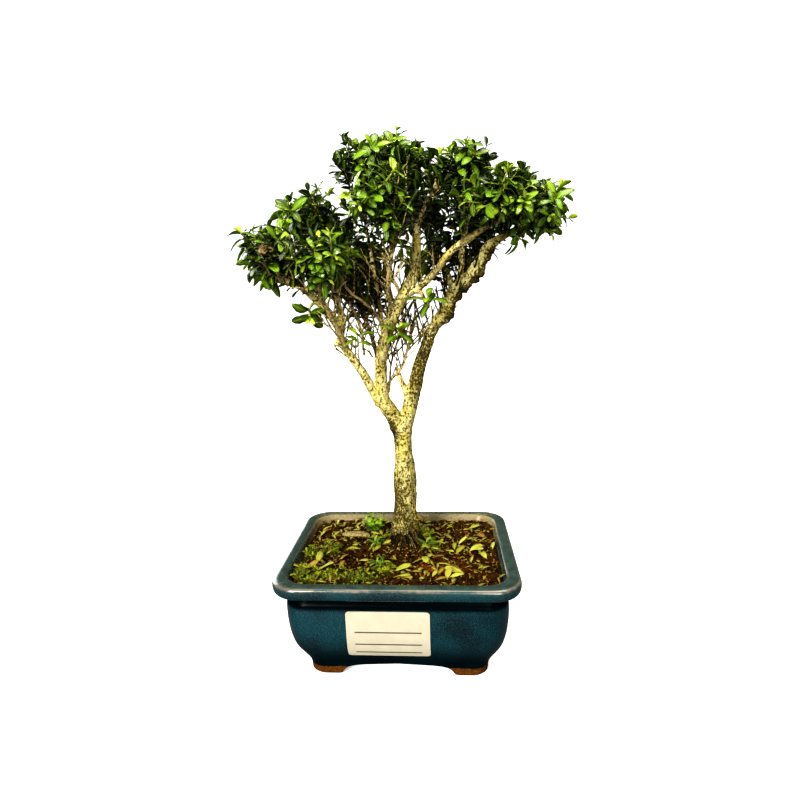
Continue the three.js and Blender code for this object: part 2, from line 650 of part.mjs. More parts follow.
/** A leaf lying on the soil. */
function makeFallenLeaf([x, y, degrees, length]) {
  const angle = THREE.MathUtils.degToRad(degrees);
  const heading = new THREE.Vector3(Math.cos(angle), Math.sin(angle), 0.1).normalize();
  const foot = new THREE.Vector3(x, y, soilHeight(x, y) - 0.5);
  return blade(foot, heading, squareTo(heading, UP), length, length * LEAF_SLENDERNESS, LEAF_THICKNESS);
}

/** The weed's root stock; extra widens it for the hole that it stands in. */
function weedStock(extra = 0) {
  const foot = new THREE.Vector3(WEED_PLACE[0], WEED_PLACE[1], soilHeight(...WEED_PLACE) - 3);
  const top = foot.clone().addScaledVector(UP, 6);
  return tube([foot, top], [1 + extra, 1.1 + extra], 5);
}

/** The weed: three stems from one stock, each with a pair of small round leaves and a top one. */
function makeWeed() {
  const fork = new THREE.Vector3(WEED_PLACE[0], WEED_PLACE[1], soilHeight(...WEED_PLACE) + 2.2);
  const solids = [weedStock()];
  for (let i = 0; i < 3; i += 1) {
    const angle = (2 * Math.PI * i) / 3 + 0.5;
    const out = new THREE.Vector3(Math.cos(angle), Math.sin(angle), 0);
    const tip = fork.clone().addScaledVector(UP, 6 + i).addScaledVector(out, 4);
    const axis = tip.clone().sub(fork).normalize();
    const along = UP.clone().cross(out);
    solids.push(tube([fork, tip], [0.8, 0.6], 3));
    for (const heading of [along, along.clone().negate(), out]) {
      const lifted = heading.clone().addScaledVector(UP, 0.3).normalize();
      const foot = tip.clone().addScaledVector(axis, -0.8);
      solids.push(blade(foot, lifted, squareTo(lifted, axis), 5, 3.8, LEAF_THICKNESS * 0.8));
    }
  }
  return mainBody(join(solids));
}

// ---------------------------------------------------------------- assembly
/** The tree: its wood in one piece and its sprays, clear of each other. */
function makeTree() {
  const sprays = layOutSprays();
  const carriers = sprays.map((spray) => carrierPath(spray));
  const twigs = carriers
    .filter((_, i) => !sprays[i].leads)
    .map((path) => tube(path, [1.6, 1.3, TWIG_END_RADIUS], TWIG_SIDES));
  const limbs = Object.keys(LIMBS).map((name) => {
    const leader = sprays.findIndex((spray) => spray.leads && spray.limb === name);
    return makeLimb(name, carriers[leader]);
  });
  const wood = mainBody(join([makeTrunk(), ...limbs, ...twigs]));

  const shoots = sprays.map((spray, i) => {
    const path = shootPath(spray, carriers[i]);
    return { path, solid: tube(path, [1, 0.9, 0.75].map((share) => share * SHOOT_RADIUS), SHOOT_SIDES) };
  });
  const taken = shoots.map(({ solid }, owner) => ({ solid, owner, box: boxOf(solid) }));
  const isClear = (solid, owner) => {
    const box = boxOf(solid);
    const others = taken.filter((other) => other.owner !== owner && other.box.intersectsBox(box));
    return !others.some((other) => cross(solid, other.solid)) && !cross(solid, wood);
  };
  const bodies = sprays.map((spray, owner) => {
    const own = [shoots[owner].solid];
    for (const leaf of leavesOf(spray, shoots[owner].path)) {
      if (isClear(leafSolid(leaf, LEAF_MARGIN), owner)) {
        const solid = leafSolid(leaf);
        taken.push({ solid, owner, box: boxOf(solid) });
        own.push(solid);
      }
    }
    return mainBody(join(own));
  });
  return { wood, sprays: bodies };
}

const group = new THREE.Group();
const numbered = (stem, index) => `${stem}_${String(index + 1).padStart(2, '0')}`;

const tree = makeTree();
let soil = makeSoil();
soil = soil.subtract(makeTrunk(GAP)).subtract(weedStock(GAP));
soil = [-DRAIN_OFFSET, DRAIN_OFFSET].reduce((ground, x) => ground.subtract(screenPocket(x)), soil);
soil = mainBody(soil);

group.add(part('pot', geometryOf(makePot()), 'pot'));
group.add(part('drain_screen_left', geometryOf(makeDrainScreen(-DRAIN_OFFSET)), 'drain_screen'));
group.add(part('drain_screen_right', geometryOf(makeDrainScreen(DRAIN_OFFSET)), 'drain_screen'));
group.add(part('soil', geometryOf(soil), 'soil'));
group.add(part('label', makeLabel(), 'label'));
group.add(part('tree_wood', geometryOf(tree.wood), 'bark'));
tree.sprays.forEach((solid, i) => group.add(part(numbered('spray', i), geometryOf(solid), 'leaf')));
group.add(part('weed', geometryOf(makeWeed()), 'weed'));
group.add(part('bark_chip', geometryOf(settle(makeChip(), soil)), 'bark_chip'));
FALLEN_LEAVES.forEach((row, i) => {
  group.add(part(numbered('fallen_leaf', i), geometryOf(settle(makeFallenLeaf(row), soil)), 'fallen_leaf'));
});

// The origin is the middle of the whole object's box, on the ground.
const box = new THREE.Box3().setFromObject(group);
const middle = box.getCenter(new THREE.Vector3());
group.position.set(-middle.x, -middle.y, 0);

export default group;
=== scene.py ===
"""A serissa bonsai in its glazed pot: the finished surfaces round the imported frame.

Every shape is worked out in millimetres in the pot's own frame, whose origin is on the ground
under the middle of the pot with the front towards -Y, and is written to Blender in metres.
"""

import logging
import math
from collections.abc import Sequence
from dataclasses import dataclass, field
from enum import Enum

import bpy
import numpy as np
from mathutils import Matrix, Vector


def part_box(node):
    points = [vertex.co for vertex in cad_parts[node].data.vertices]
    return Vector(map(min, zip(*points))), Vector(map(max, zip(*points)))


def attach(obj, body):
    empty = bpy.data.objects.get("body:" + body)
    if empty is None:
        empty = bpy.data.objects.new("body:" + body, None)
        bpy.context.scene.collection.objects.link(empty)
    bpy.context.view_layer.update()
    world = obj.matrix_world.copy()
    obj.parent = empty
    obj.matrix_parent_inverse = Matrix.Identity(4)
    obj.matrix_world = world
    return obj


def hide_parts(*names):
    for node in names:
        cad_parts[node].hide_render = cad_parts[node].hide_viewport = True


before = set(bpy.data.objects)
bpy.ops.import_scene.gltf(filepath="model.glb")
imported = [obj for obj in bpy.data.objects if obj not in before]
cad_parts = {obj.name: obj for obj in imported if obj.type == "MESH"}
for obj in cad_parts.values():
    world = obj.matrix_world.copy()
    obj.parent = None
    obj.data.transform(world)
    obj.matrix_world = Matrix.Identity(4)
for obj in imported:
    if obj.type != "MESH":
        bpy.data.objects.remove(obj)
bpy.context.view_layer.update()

LOG = logging.getLogger("bonsai")
Array = np.ndarray
Triple = tuple[float, float, float]
Colour = Triple
Table = tuple[tuple[float, ...], ...]
Material, Mesh, Piece = bpy.types.Material, bpy.types.Mesh, bpy.types.Object
Tree, Socket = bpy.types.NodeTree, bpy.types.NodeSocket
Value = Socket | float | tuple

MM = 0.001
GAP = 0.3  # clearance between neighbouring pieces
UP = np.array([0.0, 0.0, 1.0])
GOLDEN_ANGLE = math.pi * (3 - math.sqrt(5))


class Slot(Enum):
    """Names of material slots; the pieces are given one, which is not used."""

    POT = "glazed_stoneware"
    SCREEN = "drain_mesh"
    SOIL = "soil"
    LABEL = "label_paper"
    BARK = "bark"
    LEAF = "leaf"
    WEED = "weed_leaf"
    CHIP = "dry_bark"
    FALLEN = "fallen_leaf"


# ---- numbers and vectors
def pot_origin() -> Array:
    """The pot frame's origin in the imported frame, in metres: under the middle of the pot's box."""
    low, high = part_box("pot")
    return np.array([(low.x + high.x) / 2, (low.y + high.y) / 2, low.z])


POT_ORIGIN = pot_origin()


def unit(vectors: Array) -> Array:
    """The vectors along the last axis, each divided by its length."""
    return vectors / np.maximum(np.linalg.norm(vectors, axis=-1, keepdims=True), 1e-9)


def square_to(axis: Array, wanted: Array) -> Array:
    """Unit vectors at right angles to the axes, nearest to the wanted directions.

    The part of the wanted vector along the axis is taken away: w - (w . a) a. Where nothing is
    left, the axis with its parts in another order serves as the wanted direction.

    Args:
        axis: (..., 3) unit vectors.
        wanted: (..., 3) directions.

    Returns:
        (..., 3) unit vectors.
    """
    axis, wanted = np.broadcast_arrays(axis, wanted)
    across = wanted - np.sum(wanted * axis, axis=-1, keepdims=True) * axis
    other = axis[..., [2, 0, 1]]
    spare = other - np.sum(other * axis, axis=-1, keepdims=True) * axis
    usable = np.sum(across * across, axis=-1, keepdims=True) > 1e-6
    return unit(np.where(usable, across, spare))


def columns(*parts: Array | float) -> Array:
    """The parts as one array, side by side along a new last axis."""
    return np.stack(np.broadcast_arrays(*parts), axis=-1)


def chance(*keys: int) -> float:
    """A draw that depends only on its keys: an integer hash of them in turn.

    Args:
        *keys: whole numbers.

    Returns:
        A value between 0 and 1.
    """
    value = 41
    for key in keys:
        value = ((value ^ (key + 1)) * 2654435761) & 0xFFFFFFFF
        value ^= value >> 15
    value = (value * 2246822519) & 0xFFFFFFFF
    value ^= value >> 13
    return value / 4294967296


def smooth_noise(points: Array, size: float | Triple, seed: int = 0) -> Array:
    """Smooth noise at each point.

    Every corner of a grid of cells has a hashed value between -1 and 1. Inside a cell the eight
    corner values are blended with the weights t*t*(3 - 2*t) along each direction.

    Args:
        points: (n, 3) places in millimetres.
        size: size of a cell, one number or one per direction.
        seed: picks another pattern.

    Returns:
        (n,) values between -1 and 1.
    """
    scaled = points / np.asarray(size, float)
    base = np.floor(scaled).astype(np.int64)
    weight = scaled - base
    weight = weight * weight * (3 - 2 * weight)
    total = np.zeros(len(points))
    for corner in np.ndindex(2, 2, 2):
        at = base + np.array(corner)
        mixed = (at[:, 0] * 73856093) ^ (at[:, 1] * 19349663) ^ (at[:, 2] * 83492791) ^ (seed * 40503)
        mixed = (mixed & 0xFFFFFFFF) * 1274126177 & 0xFFFFFFFF
        mixed = (mixed ^ (mixed >> 15)) * 2246822519 & 0xFFFFFFFF
        value = (mixed ^ (mixed >> 13)) / 2147483648.0 - 1
        share = np.prod(np.where(corner, weight, 1 - weight), axis=1)
        total += value * share
    return total


def hill(values: Array, middle: float, spread: float) -> Array:
    """A bell curve of height 1: exp(-((v - middle) / spread)^2)."""
    return np.exp(-(((values - middle) / spread) ** 2))


def ease(values: Array, low: float, high: float) -> Array:
    """A smooth step from 0 at low to 1 at high: t*t*(3 - 2*t)."""
    share = np.clip((values - low) / (high - low), 0, 1)
    return share * share * (3 - 2 * share)


@dataclass(frozen=True)
class SmoothPath:
    """A centripetal Catmull-Rom curve through its points, carried on straight past both ends.

    Each span is the cubic through its two points whose end slopes come from the neighbouring
    points, with spans weighted by the square root of their length.
    """

    points: Array

    def at(self, shares: Array) -> Array:
        """The places at shares of the way, where each span counts as an equal part.

        Args:
            shares: (k,) values from 0 to 1.

        Returns:
            (k, 3) places.
        """
        knots = self.points
        whole = np.vstack([2 * knots[:1] - knots[1:2], knots, 2 * knots[-1:] - knots[-2:-1]])
        place = np.clip(shares, 0, 1) * (len(knots) - 1)
        span = np.minimum(place.astype(int), len(knots) - 2)
        t = (place - span)[:, None]
        p0, p1, p2, p3 = (whole[span + k] for k in range(4))
        d0, d1, d2 = (
            np.maximum(np.linalg.norm(b - a, axis=1, keepdims=True), 1e-8) ** 0.5
            for a, b in ((p0, p1), (p1, p2), (p2, p3))
        )
        out = ((p1 - p0) / d0 - (p2 - p0) / (d0 + d1) + (p2 - p1) / d1) * d1
        back = ((p2 - p1) / d1 - (p3 - p1) / (d1 + d2) + (p3 - p2) / d2) * d1
        square = -3 * p1 + 3 * p2 - 2 * out - back
        cube = 2 * p1 - 2 * p2 + out + back
        return p1 + out * t + square * t**2 + cube * t**3

    def heading(self, shares: Array) -> Array:
        """(k, 3) unit directions of the curve at the shares."""
        step = 1e-4
        return unit(self.at(np.clip(shares + step, 0, 1)) - self.at(np.clip(shares - step, 0, 1)))

    def spot(self, share: float) -> tuple[Array, Array]:
        """The place and the unit direction at one share of the way."""
        at = np.array([share], float)
        return self.at(at)[0], self.heading(at)[0]


def turned(first: Array, second: Array, angles: Array) -> tuple[Array, Array]:
    """Two parts of each row of vectors after a turn by the row's angle, from the first to the second."""
    cosine, sine = np.cos(angles)[:, None], np.sin(angles)[:, None]
    return first * cosine - second * sine, first * sine + second * cosine


def compass(angle: float, rise: float = 0.0) -> Array:
    """A level direction at an angle from +X towards +Y, with a rise added to it."""
    return np.array([math.cos(angle), math.sin(angle), rise])


def spoke(axis: Array, angle: float) -> Array:
    """The unit vector square to an axis that points most upwards, turned round the axis."""
    first = square_to(axis, UP)
    return first * math.cos(angle) + np.cross(axis, first) * math.sin(angle)


def leaning(axis: Array, angle: float, spread: float) -> Array:
    """The axis leant over by the spread, towards its spoke at the angle."""
    return axis * math.cos(spread) + spoke(axis, angle) * math.sin(spread)


def bent_path(start: Array, heading: Array, end: Array, share: float) -> Array:
    """Three points on a quadratic curve that leaves the start along a heading and ends at the end."""
    bend = start + heading * share * np.linalg.norm(end - start)
    return np.array([start, 0.25 * start + 0.5 * bend + 0.25 * end, end])


# ---- surfaces
@dataclass
class Skin:
    """A closed surface in millimetres in the pot's frame.

    Attributes:
        points: (n, 3) places.
        faces: (m, 4) point numbers, anticlockwise from outside; a triangle ends in -1.
        marks: (n,) values by name, which the shaders read.
        uv: (n, 2) place along and across the surface.
    """

    points: Array
    faces: Array
    marks: dict[str, Array] = field(default_factory=dict)
    uv: Array | None = None

    def marked(self, **values: Array | float) -> "Skin":
        """The same surface with these values on every point."""
        self.marks |= {name: np.full(len(self.points), value, float) for name, value in values.items()}
        return self


def joined(skins: list[Skin]) -> Skin:
    """One surface that holds all of them, with 0 where one has no mark of a name.

    Args:
        skins: the surfaces.

    Returns:
        The surface of all their faces.
    """
    starts = np.cumsum([0] + [len(skin.points) for skin in skins[:-1]])
    faces = np.vstack([np.where(s.faces < 0, -1, s.faces + start) for s, start in zip(skins, starts)])
    names = sorted({name for skin in skins for name in skin.marks})
    marks = {
        name: np.concatenate([skin.marks.get(name, np.zeros(len(skin.points))) for skin in skins])
        for name in names
    }
    plain = [np.full((len(s.points), 2), 0.5) if s.uv is None else s.uv for s in skins]
    return Skin(np.vstack([skin.points for skin in skins]), faces, marks, np.vstack(plain))


def stack_faces(levels: int, count: int) -> Array:
    """Faces of a stack of closed rings and of the two fans over its ends.

    Point numbers run round each ring and then from ring to ring; the last two points are the
    middles of the first and the last ring.

    Args:
        levels: number of rings.
        count: points on a ring.

    Returns:
        (m, 4) point numbers.
    """
    level, i = np.meshgrid(np.arange(levels - 1), np.arange(count), indexing="ij")
    low, high, turn = level * count, (level + 1) * count, (i + 1) % count
    sides = columns(low + i, low + turn, high + turn, high + i).reshape(-1, 4)
    around = np.arange(count)
    after = (around + 1) % count
    last = (levels - 1) * count
    first_end = columns(levels * count, after, around, -1)
    last_end = columns(levels * count + 1, last + around, last + after, -1)
    return np.vstack([sides, first_end, last_end])


def stack(rings: Array) -> Skin:
    """A closed surface over rings that run anticlockwise seen from the last ring's end.

    Args:
        rings: (levels, count, 3) places.

    Returns:
        The surface, with uv as the shares of the way round and along.
    """
    levels, count = rings.shape[:2]
    ends = np.stack([rings[0].mean(axis=0), rings[-1].mean(axis=0)])
    along, around = np.meshgrid(np.linspace(0, 1, levels), np.arange(count) / count, indexing="ij")
    uv = np.vstack([columns(around, along).reshape(-1, 2), [[0.5, 0], [0.5, 1]]])
    return Skin(np.vstack([rings.reshape(-1, 3), ends]), stack_faces(levels, count), {}, uv)


def copied_faces(faces: Array, number: int, each: int) -> Array:
    """The faces of a number of shapes in a row, all like the one with these faces and so many points."""
    offsets = (np.arange(number) * each)[:, None, None]
    return np.where(faces[None] < 0, -1, faces[None] + offsets).reshape(-1, 4)


def tubes(paths: Array, radii: Array, sides: int) -> Skin:
    """Round tapered tubes with closed ends.

    A ring's point is centre + radius * (cos(a) * across + sin(a) * side), where across is carried
    along the path without twist and side is heading x across. Each end bulges by a third of its
    radius.

    Args:
        paths: (n, rings, 3) middles.
        radii: (n, rings) radii.
        sides: points on a ring.

    Returns:
        One surface with all the tubes.
    """
    number, levels = paths.shape[:2]
    headings = unit(np.gradient(paths, axis=1))
    across = np.empty_like(paths)
    across[:, 0] = square_to(headings[:, 0], np.array([1.0, 0.2, 0.1]))
    for level in range(1, levels):
        across[:, level] = square_to(headings[:, level], across[:, level - 1])
    side = np.cross(headings, across)
    angles = np.linspace(0, 2 * np.pi, sides, endpoint=False)[:, None]
    spokes = np.cos(angles) * across[:, :, None] + np.sin(angles) * side[:, :, None]
    rings = paths[:, :, None] + radii[:, :, None, None] * spokes
    bulge = radii[:, [0, -1], None] / 3 * headings[:, [0, -1]] * np.array([[[-1.0], [1.0]]])
    ends = paths[:, [0, -1]] + bulge
    points = np.concatenate([rings.reshape(number, -1, 3), ends], axis=1).reshape(-1, 3)
    return Skin(points, copied_faces(stack_faces(levels, sides), number, levels * sides + 2))


def path_tube(path: Array, radii: Array, spacing: float, sides: int) -> Skin:
    """One smooth tube through a few points, with a ring about every so many millimetres.

    Args:
        path: (n, 3) points.
        radii: (n,) radii at them.
        spacing: distance between rings.
        sides: points on a ring.

    Returns:
        The tube.
    """
    length = np.linalg.norm(np.diff(path, axis=0), axis=1).sum()
    shares = np.linspace(0, 1, max(int(length / spacing), 3))
    widths = np.interp(shares * (len(radii) - 1), np.arange(len(radii)), radii)
    return tubes(SmoothPath(path).at(shares)[None], widths[None], sides)


# ---- pieces in Blender
def mesh_from(name: str, skin: Skin, rounded: bool = True) -> Mesh:
    """Writes a surface to a new mesh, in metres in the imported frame.

    Args:
        name: the mesh's name.
        skin: the surface.
        rounded: whether its faces are shaded as one smooth surface.

    Returns:
        The mesh.
    """
    mesh = bpy.data.meshes.new(name)
    places = (skin.points * MM + POT_ORIGIN).astype(np.float32)
    corners = skin.faces[skin.faces >= 0].astype(np.int32)
    sizes = np.where(skin.faces[:, 3] < 0, 3, 4)
    starts = np.concatenate([[0], np.cumsum(sizes)[:-1]]).astype(np.int32)
    mesh.vertices.add(len(places))
    mesh.vertices.foreach_set("co", places.ravel())
    mesh.loops.add(len(corners))
    mesh.loops.foreach_set("vertex_index", corners)
    mesh.polygons.add(len(starts))
    mesh.polygons.foreach_set("loop_start", starts)
    mesh.polygons.foreach_set("use_smooth", np.full(len(starts), rounded))
    if skin.uv is not None:
        mesh.uv_layers.new(name="UVMap").data.foreach_set("uv", skin.uv[corners].astype(np.float32).ravel())
    mesh.update(calc_edges=True)
    set_marks(mesh, skin.marks)
    return mesh


def set_marks(mesh: Mesh, marks: dict[str, Array]) -> None:
    """Writes named values on the mesh's points.

    Args:
        mesh: the mesh.
        marks: (n,) values by name.
    """
    for name, values in marks.items():
        layer = mesh.attributes.new(name=name, type="FLOAT", domain="POINT")
        layer.data.foreach_set("value", np.asarray(values, np.float32))


def vectors_of(items: bpy.types.bpy_prop_collection, name: str) -> Array:
    """(n, 3) vectors of that name, one from each item of a mesh's list.

    Args:
        items: the mesh's list.
        name: the vectors' name.

    Returns:
        The vectors.
    """
    flat = np.empty(len(items) * 3, np.float32)
    items.foreach_get(name, flat)
    return flat.reshape(-1, 3).astype(float)


def places_of(mesh: Mesh) -> Array:
    """(n, 3) places of the mesh's points, in millimetres in the pot's frame."""
    return (vectors_of(mesh.vertices, "co") - POT_ORIGIN) / MM


def normals_of(mesh: Mesh) -> Array:
    """(n, 3) outward directions at the mesh's points."""
    return vectors_of(mesh.vertex_normals, "vector")


def add_object(name: str, data: bpy.types.ID) -> Piece:
    """A new object in the scene, which holds the data.

    Args:
        name: its name.
        data: a mesh, camera or light.

    Returns:
        The object.
    """
    thing = bpy.data.objects.new(name, data)
    bpy.context.scene.collection.objects.link(thing)
    return thing


def add_piece(mesh: Mesh, finish: Material, slot: Slot, *stands_for: str) -> None:
    """Adds a mesh to the scene as a piece that rides with the part.

    Args:
        mesh: the shape, which also gives the name.
        finish: its material.
        slot: not used.
        *stands_for: the nodes that it replaces.
    """
    piece = add_object(mesh.name, mesh)
    mesh.materials.append(finish)
    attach(piece, "root")
    if stands_for:
        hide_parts(*stands_for)
    LOG.info("%s: %d faces", piece.name, len(mesh.polygons))


def add_skin(name: str, skin: Skin, finish: Material, slot: Slot, *stands_for: str) -> None:
    """Adds a surface to the scene as a smooth piece, as add_piece does."""
    add_piece(mesh_from(name, skin), finish, slot, *stands_for)


def settled_mesh(mesh: Mesh, *modifiers: tuple[str, dict]) -> Mesh:
    """A copy of the mesh with modifiers worked into it.

    Args:
        mesh: the shape to start from, which is dropped.
        modifiers: the kind and the settings of each, in order.

    Returns:
        The new mesh, with the same name.
    """
    name = mesh.name
    mesh.name = name + "_start"
    carrier = add_object(name + "_carrier", mesh)
    for kind, settings in modifiers:
        modifier = carrier.modifiers.new(kind, kind)
        for key, value in settings.items():
            setattr(modifier, key, value)
    graph = bpy.context.evaluated_depsgraph_get()
    result = bpy.data.meshes.new_from_object(carrier.evaluated_get(graph))
    result.name = name
    bpy.data.objects.remove(carrier)
    bpy.data.meshes.remove(mesh)
    return result


# ---- shader building
class Sheet:
    """A node tree that is filled step by step, for a material or for a group."""

    def __init__(self, tree: Tree) -> None:
        """Keeps the tree."""
        self.tree = tree

    def feed(self, socket: Socket, value: Value) -> None:
        """Links another socket to this one, or sets a plain value on it.

        Args:
            socket: the input to feed.
            value: a socket, a number, or a colour of three parts.
        """
        if isinstance(value, Socket):
            self.tree.links.new(value, socket)
        elif isinstance(value, tuple) and len(value) == 3 and socket.type == "RGBA":
            socket.default_value = (*value, 1.0)
        else:
            socket.default_value = value

    def run(self, kind: str, values: dict, output: int | str = 0, **settings: object) -> Socket:
        """Adds a node.

        Args:
            kind: its type, without "ShaderNode".
            values: what its inputs get, by name or number.
            output: name or number of the output that is wanted.
            **settings: its own properties.

        Returns:
            The wanted output.
        """
        node = self.tree.nodes.new("ShaderNode" + kind)
        for name, value in settings.items():
            setattr(node, name, value)
        for name, value in values.items():
            self.feed(node.inputs[name], value)
        return node.outputs[output]

    def math(self, operation: str, first: Value, second: Value = 0.0, clamp: bool = False) -> Socket:
        """The result of one sum on two values."""
        return self.run("Math", {0: first, 1: second}, operation=operation, use_clamp=clamp)

    def times(self, first: Value, second: Value) -> Socket:
        """The product of two values."""
        return self.math("MULTIPLY", first, second)

    def plus(self, first: Value, second: Value) -> Socket:
        """The sum of two values."""
        return self.math("ADD", first, second)

    def minus(self, first: Value, second: Value) -> Socket:
        """The first value less the second."""
        return self.math("SUBTRACT", first, second)

    def spread(self, value: Value, low: float, high: float, to_low: float = 0, to_high: float = 1) -> Socket:
        """The value carried smoothly from one range to another."""
        inputs = dict(enumerate((value, low, high, to_low, to_high)))
        return self.run("MapRange", inputs, interpolation_type="SMOOTHSTEP")

    def place(self, scale: Triple = (1, 1, 1)) -> Socket:
        """The point's place on the object, stretched along its directions."""
        return self.run("Mapping", {"Vector": self.run("TexCoord", {}, "Object"), "Scale": scale})

    def noise(self, place: Socket, size: float, detail: float = 3, roughness: float = 0.55) -> Socket:
        """Noise between 0 and 1 with features of about the given size in millimetres."""
        grain = {"Vector": place, "Scale": 1 / (size * MM), "Detail": detail, "Roughness": roughness}
        return self.run("TexNoise", grain)

    def blend(self, share: Value, first: Value, second: Value) -> Socket:
        """The colour between two colours."""
        return self.run("Mix", {0: share, 6: first, 7: second}, 2, data_type="RGBA")

    def mark(self, name: str) -> Socket:
        """The value of a named mark on the surface."""
        return self.run("Attribute", {}, "Fac", attribute_name=name)

    def parts(self, vector: Socket) -> Sequence[Socket]:
        """The three parts of a vector."""
        return self.run("SeparateXYZ", {0: vector}).node.outputs

    def bump(self, height: Value, depth: float, strength: float = 1.0) -> Socket:
        """The normal of a relief of the given depth in millimetres."""
        return self.run("Bump", {"Strength": strength, "Distance": depth * MM, "Height": height})


class Group(Sheet):
    """A node group with named inputs and outputs."""

    def __init__(self, name: str, inputs: dict[str, str], outputs: dict[str, str]) -> None:
        """Makes the group and its sockets.

        Args:
            name: the group's name.
            inputs: the kind of each input by name.
            outputs: the kind of each output by name.
        """
        super().__init__(bpy.data.node_groups.new(name, "ShaderNodeTree"))
        for direction, sockets in (("INPUT", inputs), ("OUTPUT", outputs)):
            for socket, kind in sockets.items():
                self.tree.interface.new_socket(socket, in_out=direction, socket_type="NodeSocket" + kind)
        self.entry = self.tree.nodes.new("NodeGroupInput").outputs
        self.exit = self.tree.nodes.new("NodeGroupOutput").inputs


def clouding_group() -> Tree:
    """Two colours that drift into each other in soft clouds of noise.

    Returns:
        The group's tree.
    """
    group = Group("Clouding", {"Noise": "Float", "First": "Color", "Second": "Color"}, {"Colour": "Color"})
    share = group.spread(group.entry["Noise"], 0.35, 0.65)
    group.feed(group.exit["Colour"], group.blend(share, group.entry["First"], group.entry["Second"]))
    return group.tree


def flecking_group() -> Tree:
    """Ragged flecks where noise and a wanted amount together pass a level.

    The mask is the smooth step of noise + amount over a narrow range, so that the flecks grow
    and run together as the amount grows.

    Returns:
        The group's tree.
    """
    group = Group("Flecking", {"Noise": "Float", "Amount": "Float", "Level": "Float"}, {"Mask": "Float"})
    total = group.plus(group.entry["Noise"], group.entry["Amount"])
    over = group.minus(total, group.entry["Level"])
    group.feed(group.exit["Mask"], group.spread(over, -0.04, 0.04))
    return group.tree


class Groups:
    """The shared node groups, each built once."""

    def __init__(self) -> None:
        """Builds them."""
        self.clouding = clouding_group()
        self.flecking = flecking_group()


class Finish(Sheet):
    """A material in the making: its sheet, its shader and the shared groups."""

    def __init__(self, name: str, groups: Groups) -> None:
        """Starts an empty material with its shader.

        Args:
            name: the material's name.
            groups: the shared node groups.
        """
        self.material = bpy.data.materials.new(name)
        self.material.use_nodes = True
        super().__init__(self.material.node_tree)
        self.shader = self.tree.nodes["Principled BSDF"]
        self.groups = groups

    def set(self, **values: Value) -> None:
        """Sets or links the shader's sockets; an underscore in a name stands for a space."""
        for name, value in values.items():
            self.feed(self.shader.inputs[name.replace("_", " ")], value)

    def clouds(self, noise: Value, first: Value, second: Value) -> Socket:
        """Two colours drifting into each other."""
        colours = {"Noise": noise, "First": first, "Second": second}
        return self.run("Group", colours, node_tree=self.groups.clouding)

    def flecks(self, noise: Value, amount: Value, level: float) -> Socket:
        """A mask of ragged flecks."""
        values = {"Noise": noise, "Amount": amount, "Level": level}
        return self.run("Group", values, node_tree=self.groups.flecking)


def dimmed(colour: Colour, share: float) -> Colour:
    """The colour with each part multiplied by the share."""
    return tuple(share * part for part in colour)


@dataclass(frozen=True)
class Glaze:
    """Speckled blue-green glaze with brown edges over brown clay, darker low down, with painted shade."""

    deep: Colour = (0.0, 0.013, 0.018)
    body: Colour = (0.001, 0.034, 0.042)
    # Near-black: the wall's dark bottom, and painted shade in the groove under the lip and on the right.
    thick: Colour = (0.0, 0.001, 0.0015)
    rim: Colour = (0.052, 0.083, 0.06)
    speckle: Colour = (0.035, 0.095, 0.105)
    broken: Colour = (0.17, 0.14, 0.1)
    clay: Colour = (0.13, 0.052, 0.01)
    stain: Colour = (0.25, 0.2, 0.1)

    def material(self, groups: Groups) -> Material:
        """Builds the material, which reads the marks top, edge, thick, bare and stain.

        Args:
            groups: the shared node groups.

        Returns:
            The material.
        """
        sheet = Finish("glaze", groups)
        place = sheet.place()
        body = sheet.clouds(sheet.noise(place, 30, 2), self.deep, self.body)
        top = sheet.clouds(sheet.noise(place, 6, 5), self.rim, dimmed(self.rim, 0.62))
        colour = sheet.blend(sheet.mark("top"), body, top)
        fine = sheet.flecks(sheet.noise(place, 0.65, 2), 0.0, 0.57)
        colour = sheet.blend(sheet.times(fine, 0.4), colour, self.speckle)
        # The mark thick darkens the wall towards the bottom and paints shade in the groove under the lip and
        # on the right.
        colour = sheet.blend(sheet.times(sheet.mark("thick"), 0.95), colour, self.thick)
        worn = sheet.spread(sheet.noise(place, 24, 3), 0.3, 0.7, 0.65, 1)
        edge = sheet.times(sheet.mark("edge"), worn)
        edge = sheet.plus(edge, sheet.times(sheet.noise(place, 3), 0.5))
        colour = sheet.blend(sheet.spread(edge, 0.7, 1.3), colour, self.broken)
        stain = sheet.plus(sheet.mark("stain"), sheet.times(sheet.noise(place, 1.6, 4, 0.7), 0.9))
        colour = sheet.blend(sheet.spread(stain, 0.8, 1.2), colour, self.stain)
        bare = sheet.plus(sheet.mark("bare"), sheet.times(sheet.noise(place, 5), 0.25))
        bare = sheet.spread(bare, 0.55, 0.7)
        clay = sheet.clouds(sheet.noise(place, 1.5, 5), self.clay, dimmed(self.clay, 0.45))
        colour = sheet.blend(bare, colour, clay)
        relief = sheet.plus(sheet.noise(place, 1.4, 2), sheet.times(bare, 2.0))
        dull = sheet.math("MAXIMUM", bare, sheet.math("MAXIMUM", sheet.mark("thick"), sheet.mark("stain")))
        sheet.set(Base_Color=colour, Roughness=sheet.spread(bare, 0, 1, 0.22, 0.85))
        sheet.set(Coat_Weight=sheet.spread(dull, 0, 0.8, 0.6, 0.0), Coat_Roughness=0.06)
        sheet.set(Specular_IOR_Level=sheet.spread(dull, 0, 1, 0.5, 0.02))
        sheet.set(Normal=sheet.bump(relief, 0.08, 0.6))
        return sheet.material


